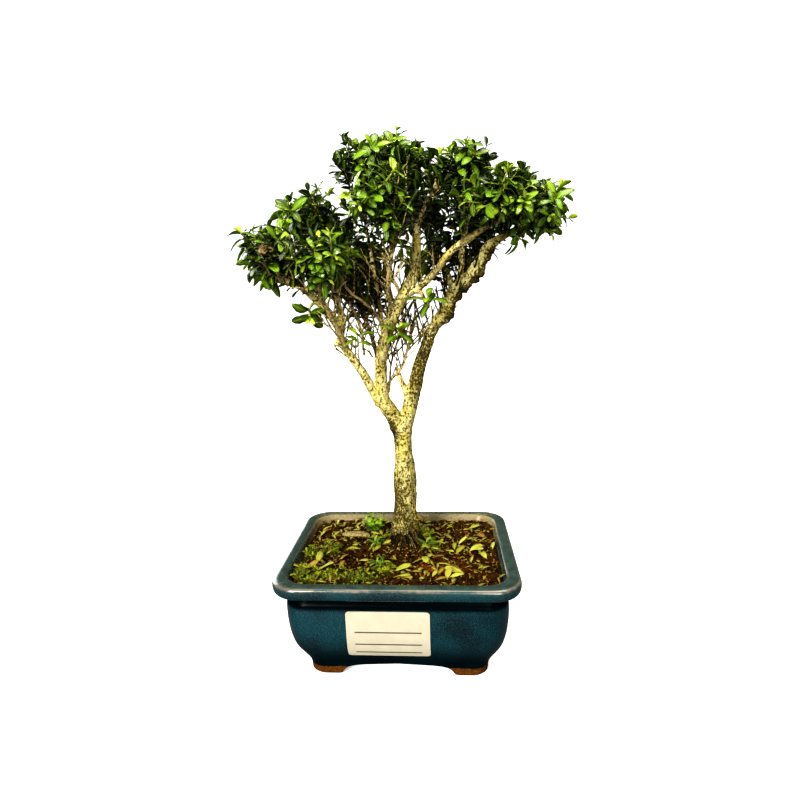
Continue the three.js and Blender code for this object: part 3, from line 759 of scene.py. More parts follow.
@dataclass(frozen=True)
class Bark:
    """Pale flaking bark with ragged dark flecks, browner on thin wood; flecks and black also paint shade."""

    pale: Colour = (0.65, 0.575, 0.25)
    warm: Colour = (0.51, 0.42, 0.1)
    dark: Colour = (0.045, 0.03, 0.0)
    # Near-black: rot at the foot and under the right limb, and painted shade in the fork and the crown.
    rot_and_shade: Colour = (0.008, 0.004, 0.0)
    twig: Colour = (0.5, 0.37, 0.17)

    def material(self, groups: Groups) -> Material:
        """Builds the material, which reads the marks grime and thin.

        Args:
            groups: the shared node groups.

        Returns:
            The material.
        """
        sheet = Finish("flaking_bark", groups)
        place = sheet.place((1, 1, 0.8))
        ground = sheet.clouds(sheet.noise(place, 7, 4), self.pale, self.warm)
        grain = sheet.spread(sheet.noise(place, 1.3, 4, 0.7), 0.45, 0.62, 0, 0.25)
        ground = sheet.blend(grain, ground, dimmed(self.warm, 0.45))
        ground = sheet.blend(sheet.times(sheet.mark("thin"), 0.75), ground, self.twig)
        # The mark adds dark flecks for flaking bark, and as painted shade in the fork and inside the crown;
        # from 1.2 on the bark goes near-black.
        grime = sheet.times(sheet.mark("grime"), 0.13)
        flecks = sheet.flecks(sheet.noise(place, 1.3, 5, 0.72), grime, 0.585)
        shade = sheet.flecks(sheet.noise(place, 4.5, 5, 0.65), grime, 0.6)
        colour = sheet.blend(sheet.times(shade, 0.35), ground, self.dark)
        colour = sheet.blend(sheet.times(flecks, 0.93), colour, self.dark)
        colour = sheet.blend(sheet.spread(sheet.mark("grime"), 1.2, 1.9), colour, self.rot_and_shade)
        fine = sheet.noise(place, 0.8, 4, 0.7)
        relief = sheet.minus(fine, sheet.times(flecks, 0.9))
        sheet.set(Base_Color=colour, Roughness=sheet.spread(fine, 0.3, 0.7, 0.65, 0.95))
        sheet.set(Specular_IOR_Level=0.15, Normal=sheet.bump(relief, 0.6, 0.9))
        return sheet.material


@dataclass(frozen=True)
class Foliage:
    """Leaves with a paler midrib and side veins, from dark grown green to fresh tips."""

    name: str = "serissa_leaf"
    dark: Colour = (0.003, 0.013, 0.0003)
    grown: Colour = (0.14, 0.265, 0.005)
    fresh: Colour = (0.42, 0.52, 0.04)
    stem: Colour = (0.2, 0.22, 0.03)
    roughness: float = 0.34
    coat: float = 0.4
    vein_turns: float = 58.0

    def material(self, groups: Groups) -> Material:
        """Builds the material, which reads the marks tone, youth and stem and the uv map.

        Args:
            groups: the shared node groups.

        Returns:
            The material.
        """
        sheet = Finish(self.name, groups)
        along, over = sheet.parts(sheet.run("UVMap", {}))[:2]
        across = sheet.math("ABSOLUTE", sheet.minus(over, 0.5))
        midrib = sheet.spread(across, 0.015, 0.06, 1, 0)
        slant = sheet.minus(along, sheet.times(across, 0.55))
        veins = sheet.spread(sheet.math("SINE", sheet.times(slant, self.vein_turns)), 0.72, 1.0)
        mottle = sheet.noise(sheet.place(), 5, 3)
        tone = sheet.plus(sheet.mark("tone"), sheet.times(mottle, 0.3))
        tone = sheet.plus(tone, sheet.spread(across, 0.1, 0.5, 0.12, -0.22))
        # A low tone gives the dark colour, which also stands for shade on the leaves inside the crown.
        colour = sheet.blend(sheet.spread(tone, 0.15, 1.1), self.dark, self.grown)
        colour = sheet.blend(sheet.spread(sheet.mark("youth"), 0.05, 1.0), colour, self.fresh)
        lines = sheet.plus(sheet.times(midrib, 0.55), sheet.times(veins, 0.14))
        colour = sheet.blend(sheet.times(lines, 0.8), colour, self.fresh)
        colour = sheet.blend(sheet.mark("stem"), colour, self.stem)
        relief = sheet.plus(sheet.times(midrib, -1.0), sheet.times(veins, -0.4))
        sheet.set(Base_Color=colour, Coat_Weight=self.coat, Coat_Roughness=0.12)
        sheet.set(Roughness=sheet.spread(mottle, 0.3, 0.7, self.roughness, self.roughness + 0.16))
        sheet.set(Specular_IOR_Level=0.4, Specular_Tint=(0.95, 1.0, 0.7, 1.0))
        sheet.set(Normal=sheet.bump(relief, 0.12, 0.7))
        return sheet.material


@dataclass(frozen=True)
class Earth:
    """Dark crumbly potting soil with paler bits, rusty patches and green moss."""

    dark: Colour = (0.006, 0.002, 0.0)
    brown: Colour = (0.07, 0.03, 0.002)
    bit: Colour = (0.36, 0.27, 0.07)
    rust: Colour = (0.3, 0.085, 0.008)
    moss: Colour = (0.1, 0.12, 0.01)

    def material(self, groups: Groups) -> Material:
        """Builds the material, which reads the marks tone, rust and moss.

        Args:
            groups: the shared node groups.

        Returns:
            The material.
        """
        sheet = Finish("potting_soil", groups)
        place = sheet.place()
        ground = sheet.clouds(sheet.noise(place, 3, 5, 0.7), self.dark, self.brown)
        colour = sheet.blend(sheet.spread(sheet.mark("tone"), 0.6, 1.0), ground, self.bit)
        for name, size, low, cover in (("rust", 4, 0.35, self.rust), ("moss", 2.2, 0.3, self.moss)):
            share = sheet.times(sheet.mark(name), sheet.spread(sheet.noise(place, size), low, 0.6))
            colour = sheet.blend(share, colour, cover)
        sheet.set(Base_Color=colour, Roughness=0.95, Specular_IOR_Level=0.1)
        sheet.set(Normal=sheet.bump(sheet.noise(place, 0.7, 5, 0.75), 0.5, 0.9))
        return sheet.material


@dataclass(frozen=True)
class LabelPaper:
    """Cream coated paper with plain ruled lines."""

    paper: Colour = (0.46, 0.415, 0.305)
    ink: Colour = (0.01, 0.01, 0.011)
    lines: tuple[float, ...] = (36.9, 28.3, 22.0)
    line_width: float = 0.9
    margin: float = 5.0
    softness: float = 0.1

    def material(self, groups: Groups, left: float, right: float) -> Material:
        """Builds the material with its lines at their heights between two margins.

        Args:
            groups: the shared node groups.
            left: the label's left end, in the pot's frame.
            right: its right end.

        Returns:
            The material.
        """
        sheet = Finish("label_paper", groups)
        x, _, z = sheet.parts(sheet.place((1 / MM, 1 / MM, 1 / MM)))
        middle = POT_ORIGIN[0] / MM + (left + right) / 2
        aside = sheet.math("ABSOLUTE", sheet.minus(x, middle))
        half, soft = (right - left) / 2 - self.margin, self.softness
        within = sheet.spread(aside, half - soft, half + soft, 1, 0)
        ruled = 0.0
        for height in self.lines:
            away = sheet.math("ABSOLUTE", sheet.minus(z, height))
            line = sheet.spread(away, self.line_width / 2 - soft, self.line_width / 2 + soft, 1, 0)
            ruled = sheet.math("ADD", ruled, line, clamp=True)
        place = sheet.place()
        paper = sheet.clouds(sheet.noise(place, 9, 3), self.paper, dimmed(self.paper, 0.93))
        inked = sheet.times(sheet.times(ruled, within), 0.85)
        sheet.set(Base_Color=sheet.blend(inked, paper, self.ink))
        sheet.set(Roughness=sheet.spread(sheet.noise(place, 1.5), 0.3, 0.7, 0.32, 0.5))
        sheet.set(Normal=sheet.bump(sheet.noise(place, 4, 2), 0.05, 0.4))
        return sheet.material


@dataclass(frozen=True)
class PlainGrain:
    """A plain surface with clouded colour and a fine grain."""

    name: str
    first: Colour
    second: Colour
    size: float
    roughness: float
    depth: float

    def material(self, groups: Groups) -> Material:
        """Builds the material.

        Args:
            groups: the shared node groups.

        Returns:
            The material.
        """
        sheet = Finish(self.name, groups)
        place = sheet.place()
        colour = sheet.clouds(sheet.noise(place, self.size, 5, 0.7), self.first, self.second)
        sheet.set(Base_Color=colour, Roughness=self.roughness)
        sheet.set(Normal=sheet.bump(sheet.noise(place, self.size / 3, 4), self.depth, 0.8))
        return sheet.material


# ---- leaves
@dataclass
class Blades:
    """Many leaves at once: one entry of each array per leaf."""

    foot: Array
    heading: Array
    face: Array
    length: Array
    width: Array
    curl: Array
    tone: Array
    youth: Array

    stations = ((0.0, 0.0), (0.1, 0.16), (0.27, 0.66), (0.48, 0.96), (0.7, 1.0), (0.9, 0.62), (1.0, 0.0))
    lanes = (-1.0, -0.5, 0.0, 0.5, 1.0)
    thickness = 0.34

    @classmethod
    def of(cls, rows: list[tuple]) -> "Blades":
        """The leaves from one row each of foot, heading, face, length, width, curl, tone, youth."""
        return cls(*(np.array(column, float) for column in zip(*rows)))

    def template(self) -> tuple[Array, Array, Array, Array]:
        """One leaf's points as shares, and its faces.

        A leaf is a grid of lanes across and stations along, once above and once below, that share
        the points of the margin, and one point at each end.

        Returns:
            Shares along, shares across, side (1 above, -1 below, 0 on the margin) and faces.
        """
        inner = self.stations[1:-1]
        lanes = len(self.lanes)
        top = [(u, v, 0.0 if abs(v) == 1 else 1.0) for u, _ in inner for v in self.lanes]
        under = [(u, v, -1.0) for u, _ in inner for v in self.lanes[1:-1]]
        ends = [(0.0, 0.0, 0.0), (1.0, 0.0, 0.0)]
        u, v, side = np.array(top + under + ends).T
        rows = len(inner)
        above = np.arange(rows * lanes).reshape(rows, lanes)
        below = above.copy()
        below[:, 1:-1] = rows * lanes + np.arange(rows * (lanes - 2)).reshape(rows, lanes - 2)
        faces = []
        root, tip = len(u) - 2, len(u) - 1
        for grid, flip in ((above, False), (below, True)):
            quads = columns(grid[:-1, :-1], grid[:-1, 1:], grid[1:, 1:], grid[1:, :-1]).reshape(-1, 4)
            near = columns(root, grid[0, 1:], grid[0, :-1])
            far = columns(tip, grid[-1, :-1], grid[-1, 1:])
            way = -1 if flip else 1
            faces += [np.vstack([near, far])[:, ::way], quads[:, ::way]]
        padded = [np.hstack([f, np.full((len(f), 4 - f.shape[1]), -1)]) for f in faces]
        return u, v, side, np.vstack(padded)

    def skin(self) -> Skin:
        """The surface of all the leaves.

        A point is foot + heading*length*u + side*width/2*outline(u)*v, lifted along the face by
        length*(0.22*u - curl*u*u) for the arch, by 0.11*width*outline(u)*|v|^1.5 for the cupped
        halves, by a small wave near the margin, and by half the thickness.

        Returns:
            The surface with the marks tone, youth and stem and with uv along and across.
        """
        u, v, side, faces = self.template()
        along, halves = np.array(self.stations).T
        outline = np.interp(u, along, halves)
        across = np.cross(self.face, self.heading)
        breadth = self.width[:, None] / 2 * outline
        wave = 0.05 * self.width[:, None] * np.sin(7 * u + 9 * self.tone[:, None]) * np.abs(v) * np.sign(v)
        arch = self.length[:, None] * (0.22 * u - self.curl[:, None] * u**2)
        cup = 0.22 * breadth * np.abs(v) ** 1.5
        height = arch + cup + wave * outline + side * self.thickness / 2 * np.minimum(1, 4 * outline)
        points = (
            self.foot[:, None]
            + self.heading[:, None] * (self.length[:, None] * u)[..., None]
            + across[:, None] * (breadth * v)[..., None]
            + self.face[:, None] * height[..., None]
        )
        number, each = points.shape[:2]
        uv = np.tile(columns(u, v / 2 + 0.5), (number, 1))
        marks = {"tone": np.repeat(self.tone, each), "youth": np.repeat(self.youth, each)}
        return Skin(points.reshape(-1, 3), copied_faces(faces, number, each), marks, uv).marked(stem=0)


class PlainBlades(Blades):
    """Leaves with fewer faces, for the inside of the crown."""

    stations = ((0.0, 0.0), (0.15, 0.3), (0.4, 0.9), (0.7, 1.0), (0.9, 0.62), (1.0, 0.0))
    lanes = (-1.0, 0.0, 1.0)


# ---- the pot
@dataclass
class GlazedPot:
    """The fired pot: a rounded rectangle with a rolled rim, bellied walls and four feet."""

    width: float = 150.0
    depth: float = 125.0
    corner: float = 17.0
    tightening: float = 0.4
    floor_top: float = 15.5
    arch_height: float = 9.0
    front_span: float = 70.0
    side_span: float = 46.0
    drain_radius: float = 6.0
    drain_offset: float = 30.0
    foot_inset: float = 19.2
    foot_knot: int = 4
    knot_steps: int = 12
    arc_steps: int = 12
    side_spacing: float = 2.0
    # Distance from a foot's side towards the middle of an arch, and the arch's height there.
    arch: Table = ((14, 7.8), (8, 7.0), (4, 5.8), (1.5, 3.9), (0, 1.6), (-3, 0))
    # Height and inset of the wall's knots, outside from the ground up and inside from the rim down.
    outside: Table = (
        (0, 20.4), (1.4, 19.1), (5, 18.8), (9.5, 17.6), (15, 14.6), (22, 10.7), (30, 8.4), (38, 7.3),
        (46, 6.9), (52, 7.3), (54.5, 8.4), (58.2, 9.2), (59.2, 2.8), (60.4, 0.9), (63, 0.1), (65.6, 0.1),
        (66.9, 0.8), (67.5, 2.4),
    )
    inside: Table = (
        (67.4, 6.8), (66.6, 8.3), (64, 9.3), (58, 12.6), (48, 13.2), (36, 14), (26, 15.8), (19, 19),
        (15.5, 24),
    )

    def samples(self, spacing: float) -> tuple[Array, Array, Array, Array]:
        """Where each point of an outline lies, as shares of the corner centres plus a direction.

        Args:
            spacing: distance between points along the sides.

        Returns:
            Share left to right, share front to back, cosine and sine of the corner direction.
        """
        corners = [(1, 1), (-1, 1), (-1, -1), (1, -1)]
        rows = []
        for k, (x, y) in enumerate(corners):
            turns = (k + np.linspace(0, 1, self.arc_steps + 1)) * np.pi / 2
            rows.append(columns(x, y, turns))
            next_x, next_y = corners[(k + 1) % 4]
            length = self.width if x != next_x else self.depth
            share = np.linspace(0, 1, int(length / spacing))[1:-1]
            rows.append(columns(x + (next_x - x) * share, y + (next_y - y) * share, (k + 1) * np.pi / 2))
        x, y, turn = np.vstack(rows).T
        return x, y, np.cos(turn), np.sin(turn)

    def rings(self, inset: Array, height: Array, spacing: float) -> Array:
        """Rounded rectangles inset from the rim's outline.

        x = share * (half width - r) + r * cos, and y in the same way, where the corner radius r
        shrinks a little with the inset.

        Args:
            inset: (levels, 1) or (levels, count) distances in from the rim's outline.
            height: heights, of the same shape.
            spacing: distance between points along the sides.

        Returns:
            (levels, count, 3) places.
        """
        x, y, cosine, sine = self.samples(spacing)
        radius = np.maximum(self.corner - self.tightening * inset, 3)
        places_x = x * (self.width / 2 - inset - radius) + radius * cosine
        places_y = y * (self.depth / 2 - inset - radius) + radius * sine
        return columns(places_x, places_y, height)

    def profile(self) -> Array:
        """The wall's section, from a foot up, over the rim and down inside.

        Returns:
            (n, 2) fine points of inset and height.
        """
        knots = np.array([(inset, 0, height) for height, inset in (*self.outside, *self.inside)])
        count = self.knot_steps * (len(knots) - 1) + 1
        return SmoothPath(knots).at(np.linspace(0, 1, count))[:, [0, 2]]

    def outside_inset(self, heights: Array) -> Array:
        """The outer wall's inset at heights below the rim."""
        outer = self.profile()[: self.knot_steps * (len(self.outside) - 8) + 1]
        return np.interp(heights, outer[:, 1], outer[:, 0])

    def under(self, x: Array, y: Array) -> Array:
        """Height of the pot's underside: arches between the feet, both ways, and 0 at the feet.

        Each arch rises steeply beside its feet and is nearly level in the middle, and the higher
        of the two counts.

        Args:
            x: places left to right.
            y: places front to back.

        Returns:
            Heights.
        """
        heights = []
        for place, span in ((x, self.front_span), (y, self.side_span)):
            half = span / 2
            knots = [0, *(half - inward for inward, _ in self.arch)]
            levels = [self.arch_height, *(level for _, level in self.arch)]
            heights.append(np.interp(np.abs(place), knots, levels))
        return np.maximum(*heights)

    def drill(self, x: float) -> Piece:
        """A round bar that stands through the floor where a drain hole is wanted."""
        path = np.array([[[x, 0, -4.0], [x, 0, 4.0], [x, 0, self.floor_top + 8]]])
        return add_object("drill", mesh_from("drill", tubes(path, np.full((1, 3), self.drain_radius), 40)))

    def skin(self) -> Skin:
        """The whole pot as one stack of rings.

        The rings start in the middle of the underside, run out to the foot edge, up the wall,
        over the rim, down inside and in to the middle of the floor. Below the belly a ring's
        height runs from the arch's edge to the belly in equal shares.

        Returns:
            The surface.
        """
        spacing = self.side_spacing
        foot = self.rings(np.full((1, 1), self.foot_inset), np.zeros((1, 1)), spacing)
        edge_height = self.under(foot[0, :, 0], foot[0, :, 1])
        belly = self.outside[self.foot_knot][0]
        shares = np.array([0, 0.03, 0.1, 0.2, 0.32, 0.45, 0.6, 0.8])[:, None]
        low_height = edge_height + (belly - edge_height) * shares
        low = self.rings(self.outside_inset(low_height), low_height, spacing)
        fine = self.profile()[self.knot_steps * self.foot_knot:: 2]
        wall = self.rings(fine[:, :1], fine[:, 1:], spacing)
        inward = np.linspace(1, 0.04, 34)[1:, None]
        under_x, under_y = low[0, :, 0] * inward[::-1], low[0, :, 1] * inward[::-1]
        under = columns(under_x, under_y, self.under(under_x, under_y))
        floor = wall[-1] * np.array([1, 1, 0]) * inward[::3, None] + UP * self.floor_top
        return stack(np.vstack([under, low, wall, floor]))

    def inset_of(self, points: Array) -> Array:
        """The inset of the rounded rectangle that passes through each point, found by halving.

        A point is outside an inset's outline where |max(q, 0)| + min(max(q), 0) is over the
        corner radius, with q its distances past the corner's centre.

        Args:
            points: (n, 3) places.

        Returns:
            (n,) insets.
        """
        low, high = np.full(len(points), -2.0), np.full(len(points), 62.0)
        for _ in range(26):
            middle = (low + high) / 2
            radius = np.maximum(self.corner - self.tightening * middle, 3)
            centre = np.array([self.width, self.depth]) / 2 - (middle + radius)[:, None]
            past = np.abs(points[:, :2]) - centre
            reach = np.linalg.norm(np.maximum(past, 0), axis=1) + np.minimum(past.max(axis=1), 0)
            outside = reach > radius
            low, high = np.where(outside, low, middle), np.where(outside, middle, high)
        return low

    def marks(self, points: Array) -> dict[str, Array]:
        """Where the glaze is on top of the rim, thin on an edge, darkened, left off or stained.

        Args:
            points: (n, 3) places.

        Returns:
            The marks by name.
        """
        inset = self.inset_of(points)
        x, y, z = points.T
        depth = inset - self.outside_inset(np.clip(z, 0, 58))
        inner = (inset > 8.2) & (z > 14) & (depth > 0.8)
        below = (depth > 1.5) & (z < 14)
        on_rim = ease(z, 60, 66) * 0.25 + ease(z, 66.4, 67.2) * 0.75
        edge = hill(inset, 0.9, 1.4) * ease(z, 64, 66) + 0.8 * hill(inset, 7.3, 0.9) * ease(z, 65.5, 66.6)
        stain = ease(z, 60, 63) * ease(inset, 6.9, 7.9) * (0.42 + 0.28 * ease(y, -10, 50))
        # Painted shade in the groove under the lip.
        groove_shade = ease(z, 48.5, 52) * (1 - ease(z, 57.5, 59.5))
        # Painted shade, deepening towards the right of the wall below the rim.
        shaded = 0.3 * ease(x, -5, 60) * (1 - ease(z, 56, 60))
        bare = np.maximum(1 - ease(z, 5.2, 6.6), (inner & (z < 60)) * 1.0)
        return {
            "top": np.maximum(on_rim, 0.9 * inner),
            "edge": np.maximum(edge, 0.75 * hill(z, 59.3, 0.9) * (inset < 4)),
            # thick: darker towards the bottom, and painted shade in the groove under the lip and on the
            # wall's right.
            "thick": np.maximum(np.maximum(groove_shade, 0.85 * (1 - ease(z, 10, 36))), shaded),
            "stain": np.maximum(stain, 0.5 * ease(z, 66.6, 67.3) * ease(y, 30, 58)),
            "bare": np.maximum(bare, below * 1.0),
        }

    def build(self, glaze: Material) -> None:
        """Builds the pot, drills its drain holes and dresses it.

        Args:
            glaze: the finish.
        """
        mesh = mesh_from("glazed_pot", self.skin())
        drills = [self.drill(side * self.drain_offset) for side in (-1, 1)]
        cuts = [("BOOLEAN", {"operation": "DIFFERENCE", "object": bar, "solver": "EXACT"}) for bar in drills]
        mesh = settled_mesh(mesh, *cuts)
        for bar in drills:
            bpy.data.objects.remove(bar)
        mesh.materials.clear()
        mesh.shade_smooth()
        set_marks(mesh, self.marks(places_of(mesh)))
        add_piece(mesh, glaze, Slot.POT, "pot")


@dataclass
class Label:
    """The thin sticker on the front of the pot."""

    pot: GlazedPot
    left: float = -29.5
    right: float = 20.5
    bottom: float = 18.5
    top: float = 50.5
    corner: float = 2.0
    thickness: float = 0.5

    def build(self, paper: Material) -> None:
        """Builds the sheet as rings at rising heights, pulled in towards rounded corners.

        Args:
            paper: the finish.
        """
        turn = np.linspace(0, np.pi / 2, 7)
        rounding = self.corner * (1 - np.cos(turn))
        straight = np.linspace(self.bottom + self.corner, self.top - self.corner, 34)[1:-1]
        heights = np.concatenate([self.bottom + rounding, straight, self.top - rounding[::-1]])
        near_end = np.minimum(np.minimum(heights - self.bottom, self.top - heights), self.corner)
        pull = self.corner - np.sqrt(np.maximum(self.corner**2 - (self.corner - near_end) ** 2, 1e-3))
        back = self.pot.outside_inset(heights) - self.pot.depth / 2 - GAP
        share = np.linspace(0, 1, 40)
        x = (self.left + pull)[:, None] + (self.right - self.left - 2 * pull)[:, None] * share
        z = heights[:, None]
        lift = 0.25 * ease(np.abs(x - (self.left + self.right) / 2), 21, 25) * ease(z, 45, 50.5)
        front = back[:, None] - self.thickness - lift
        outward = columns(x, front, z)
        inward = columns(x, front + self.thickness, z)[:, ::-1]
        mesh = mesh_from("label_sheet", stack(np.concatenate([outward, inward], axis=1)))
        mesh.shade_flat()
        add_piece(mesh, paper, Slot.LABEL, "label")


@dataclass
class DrainScreens:
    """The two squares of woven plastic mesh over the drain holes."""

    pot: GlazedPot
    size: float = 20.0
    thread: float = 0.28
    rise: float = 0.5
    count: int = 11

    def build(self, plastic: Material) -> None:
        """Builds each square from two layers of threads that pass over and under each other.

        Args:
            plastic: the finish.
        """
        middle = self.pot.floor_top + GAP + self.rise
        along = np.linspace(-0.5, 0.5, 45) * (self.size - 2 * self.thread)
        place = np.linspace(-0.5, 0.5, self.count) * (self.size - 2 * self.thread)
        parity = np.where(np.arange(self.count) % 2, 1.0, -1.0)[:, None]
        sway = 0.2 * parity * np.cos(np.pi * (along / (place[1] - place[0])))[None]
        for side, name in ((-1, "drain_screen_left"), (1, "drain_screen_right")):
            x = side * self.pot.drain_offset
            warp = columns(x + along, place[:, None], middle + sway)
            weft = columns(x + place[:, None], along, middle - sway)
            paths = np.concatenate([warp, weft])
            skin = tubes(paths, np.full(paths.shape[:2], self.thread), 6)
            add_skin(name + "_mesh", skin, plastic, Slot.SCREEN, name)


# ---- soil and what lies on it
@dataclass
class PottingSoil:
    """The soil that fills the pot, heaped round the trunk, with its crumbs and moss."""

    pot: GlazedPot
    trunk_foot: tuple[float, float] = (2.5, 12.0)
    edge: float = 63.6
    mound_height: float = 8.0
    mound_spread: float = 13.0
    roughness: float = 0.7
    rings_in: int = 74
    wall_gap: float = 11.5
    crumbs: int = 4400
    crumb_seed: int = 17
    crumb_place_seed: int = 5
    moss_seed: int = 23
    # Place, reach and number of tufts of each patch of moss.
    moss_patches: Table = (
        (-58, -6, 8, 130), (-47, -1, 7, 120), (-53, -40, 9, 160), (-39, -37, 9, 160), (-22, -40, 9, 150),
        (-8, -30, 6, 110), (-61, -30, 6, 90), (16, 14, 7, 110), (22, 2, 6, 60), (-10, 8, 6, 60),
    )

    def height(self, x: Array, y: Array) -> Array:
        """The plain form: level with gentle waves and a bell-shaped heap round the trunk.

        Args:
            x: places left to right.
            y: places front to back.

        Returns:
            Heights.
        """
        away = np.hypot(x - self.trunk_foot[0], y - self.trunk_foot[1])
        mound = self.mound_height * np.exp(-((away / self.mound_spread) ** 2) / 2)
        rough = np.sin(0.21 * x + 0.6) * np.cos(0.17 * y - 0.4) + 0.6 * np.sin(0.39 * x - 0.31 * y)
        return self.edge + mound + self.roughness * rough

    def fine_height(self, x: Array, y: Array) -> Array:
        """The plain form with three sizes of crumbly noise, fading out at the wall.

        Args:
            x: places left to right.
            y: places front to back.

        Returns:
            Heights.
        """
        flat = columns(x.ravel(), y.ravel(), 0.0)
        grades = ((0.9, 5.2, 3), (0.65, 2.4, 4), (0.5, 1.2, 5))
        crumbly = sum(tall * smooth_noise(flat, size, seed) for tall, size, seed in grades)
        return self.height(x, y) + crumbly.reshape(x.shape)

    def mossy(self, points: Array) -> Array:
        """How mossy the ground is: the highest of the patches' bell curves."""
        away = [np.hypot(points[:, 0] - x, points[:, 1] - y) / reach for x, y, reach, _ in self.moss_patches]
        return hill(np.min(away, axis=0), 0, 1)

    def rusty(self, points: Array) -> Array:
        """How rusty the ground is, in a long patch in front."""
        return hill(np.hypot((points[:, 0] - 27) / 1.7, points[:, 1] + 27), 0, 8)

    def skin(self) -> Skin:
        """The filling as one stack of rings: bottom, wall and the crumbly top.

        Returns:
            The surface.
        """
        edge_height = self.edge - self.roughness
        inside = np.array(self.pot.inside[::-1])
        keep = inside[:, 0] < edge_height
        heights = np.append(inside[keep, 0], edge_height)
        insets = np.interp(heights, inside[:, 0], inside[:, 1]) + GAP
        heights[0] += GAP
        wall = self.pot.rings(insets[:, None], heights[:, None], self.pot.side_spacing)
        scales = 1 - np.linspace(0, 1, self.rings_in + 2)[1:-1, None] ** 0.9
        x = self.trunk_foot[0] + scales * (wall[-1, :, 0] - self.trunk_foot[0])
        y = self.trunk_foot[1] + scales * (wall[-1, :, 1] - self.trunk_foot[1])
        top = columns(x, y, self.fine_height(x, y))
        inward = np.linspace(0.1, 0.9, 4)[:, None, None]
        bottom = wall[0] * np.array([1, 1, 0]) * inward + UP * heights[0]
        return stack(np.vstack([bottom, wall, top]))

    def scatter(self, count: int, seed: int, reach: float = 63.0) -> tuple[Array, Array]:
        """Random places on the soil inside the wall, as x and y arrays.

        Args:
            count: number of places.
            seed: starts the draws.
            reach: furthest place to a side.

        Returns:
            The places' x and y.
        """
        draw = np.random.default_rng(seed)
        half_x, half_y = self.pot.width / 2 - self.wall_gap, self.pot.depth / 2 - self.wall_gap
        x = draw.uniform(-half_x, half_x, count)
        return np.clip(x, -reach, reach), draw.uniform(-half_y, half_y, count)

    def crumb_skin(self) -> Skin:
        """Loose crumbs: eight-faced lumps of many sizes, squashed and turned by chance.

        Returns:
            The surface.
        """
        draw = np.random.default_rng(self.crumb_seed)
        x, y = self.scatter(self.crumbs, self.crumb_place_seed)
        size = draw.lognormal(-0.25, 0.42, self.crumbs).clip(0.35, 2.3)
        lump = np.array([[1, 0, 0], [0, 1, 0], [-1, 0, 0], [0, -1, 0], [0, 0, 1], [0, 0, -1]], float)
        upper = np.array([[i, (i + 1) % 4, 4, -1] for i in range(4)])
        lower = np.array([[(i + 1) % 4, i, 5, -1] for i in range(4)])
        squash = draw.uniform(0.55, 1.15, (self.crumbs, 6, 1))
        turn = draw.uniform(0, 2 * np.pi, self.crumbs)
        tilt = draw.uniform(-0.6, 0.6, self.crumbs)
        points = lump * squash * size[:, None, None] * 0.75
        px, pz = turned(points[..., 0], points[..., 2], tilt)
        px, py = turned(px, points[..., 1], turn)
        middle = columns(x, y, self.fine_height(x, y) + 0.15 * size)
        points = (columns(px, py, pz * 0.8) + middle[:, None]).reshape(-1, 3)
        tone, rust = (np.repeat(draw.uniform(0, 1, self.crumbs), 6) for _ in range(2))
        marks = {"tone": tone, "rust": np.maximum(self.rusty(points), 0.9 * (rust > 0.8))}
        return Skin(points, copied_faces(np.vstack([upper, lower]), self.crumbs, 6), marks)

    def moss_skin(self) -> Skin:
        """Tufts of moss: short leaning cones, thickest in the middle of each patch.

        Returns:
            The surface.
        """
        draw = np.random.default_rng(self.moss_seed)
        counts = [patch[3] for patch in self.moss_patches]
        number = sum(counts)
        middle = np.repeat([patch[:3] for patch in self.moss_patches], counts, axis=0)
        away = middle[:, 2] * 0.75 * np.abs(draw.normal(0, 0.75, number)).clip(0, 1.5)
        angle = draw.uniform(0, 2 * np.pi, number)
        x = (middle[:, 0] + away * np.cos(angle)).clip(-62.5, 62.5)
        y = (middle[:, 1] + away * np.sin(angle)).clip(-50.5, 50.5)
        foot = columns(x, y, self.fine_height(x, y) - 0.3)
        lean = columns(draw.normal(0, 0.55, number), draw.normal(0, 0.55, number), 1.0)
        tip = foot + unit(lean) * draw.uniform(1.2, 3.0, number)[:, None]
        bend = (foot + tip) / 2 + draw.normal(0, 0.25, (number, 3))
        radii = np.outer(draw.uniform(0.3, 0.6, number), [1.0, 0.75, 0.12])
        skin = tubes(np.stack([foot, bend, tip], axis=1), radii, 4)
        each = len(skin.points) // number
        tone, youth = (np.repeat(draw.uniform(0, top, number), each) for top in (1, 0.8))
        return skin.marked(tone=tone, youth=youth, stem=0)

    def sprout_skin(self) -> Skin:
        """Little rosettes in the moss: six pointed leaves each, some of them fresh.

        Returns:
            The surface.
        """
        rows = []
        for number, (x, y, reach, count) in enumerate(self.moss_patches):
            for i in range(count // 9):
                away = reach * 0.9 * math.sqrt(chance(number, i, 1))
                turn = 2 * math.pi * chance(number, i, 2)
                place = np.array([x + away * math.cos(turn), y + away * math.sin(turn)])
                place = place.clip((-62, -50), (62, 50))
                ground = self.height(*place) + 0.4 + chance(number, i, 3)
                foot, size = np.array([*place, ground]), 2.2 + 2.4 * chance(number, i, 4)
                for k in range(6):
                    rise = 0.35 + 0.9 * chance(number, i, k, 5)
                    heading = unit(compass(turn + k * GOLDEN_ANGLE, rise))
                    draws = [chance(number, i, k, salt) for salt in (6, 7, 8)]
                    length = size * (0.7 + 0.4 * draws[0])
                    rows.append((foot, heading, square_to(heading, UP), length, 0.42 * size, 0.3,
                                 draws[1], 0.9 * draws[2]))
        return PlainBlades.of(rows).skin()

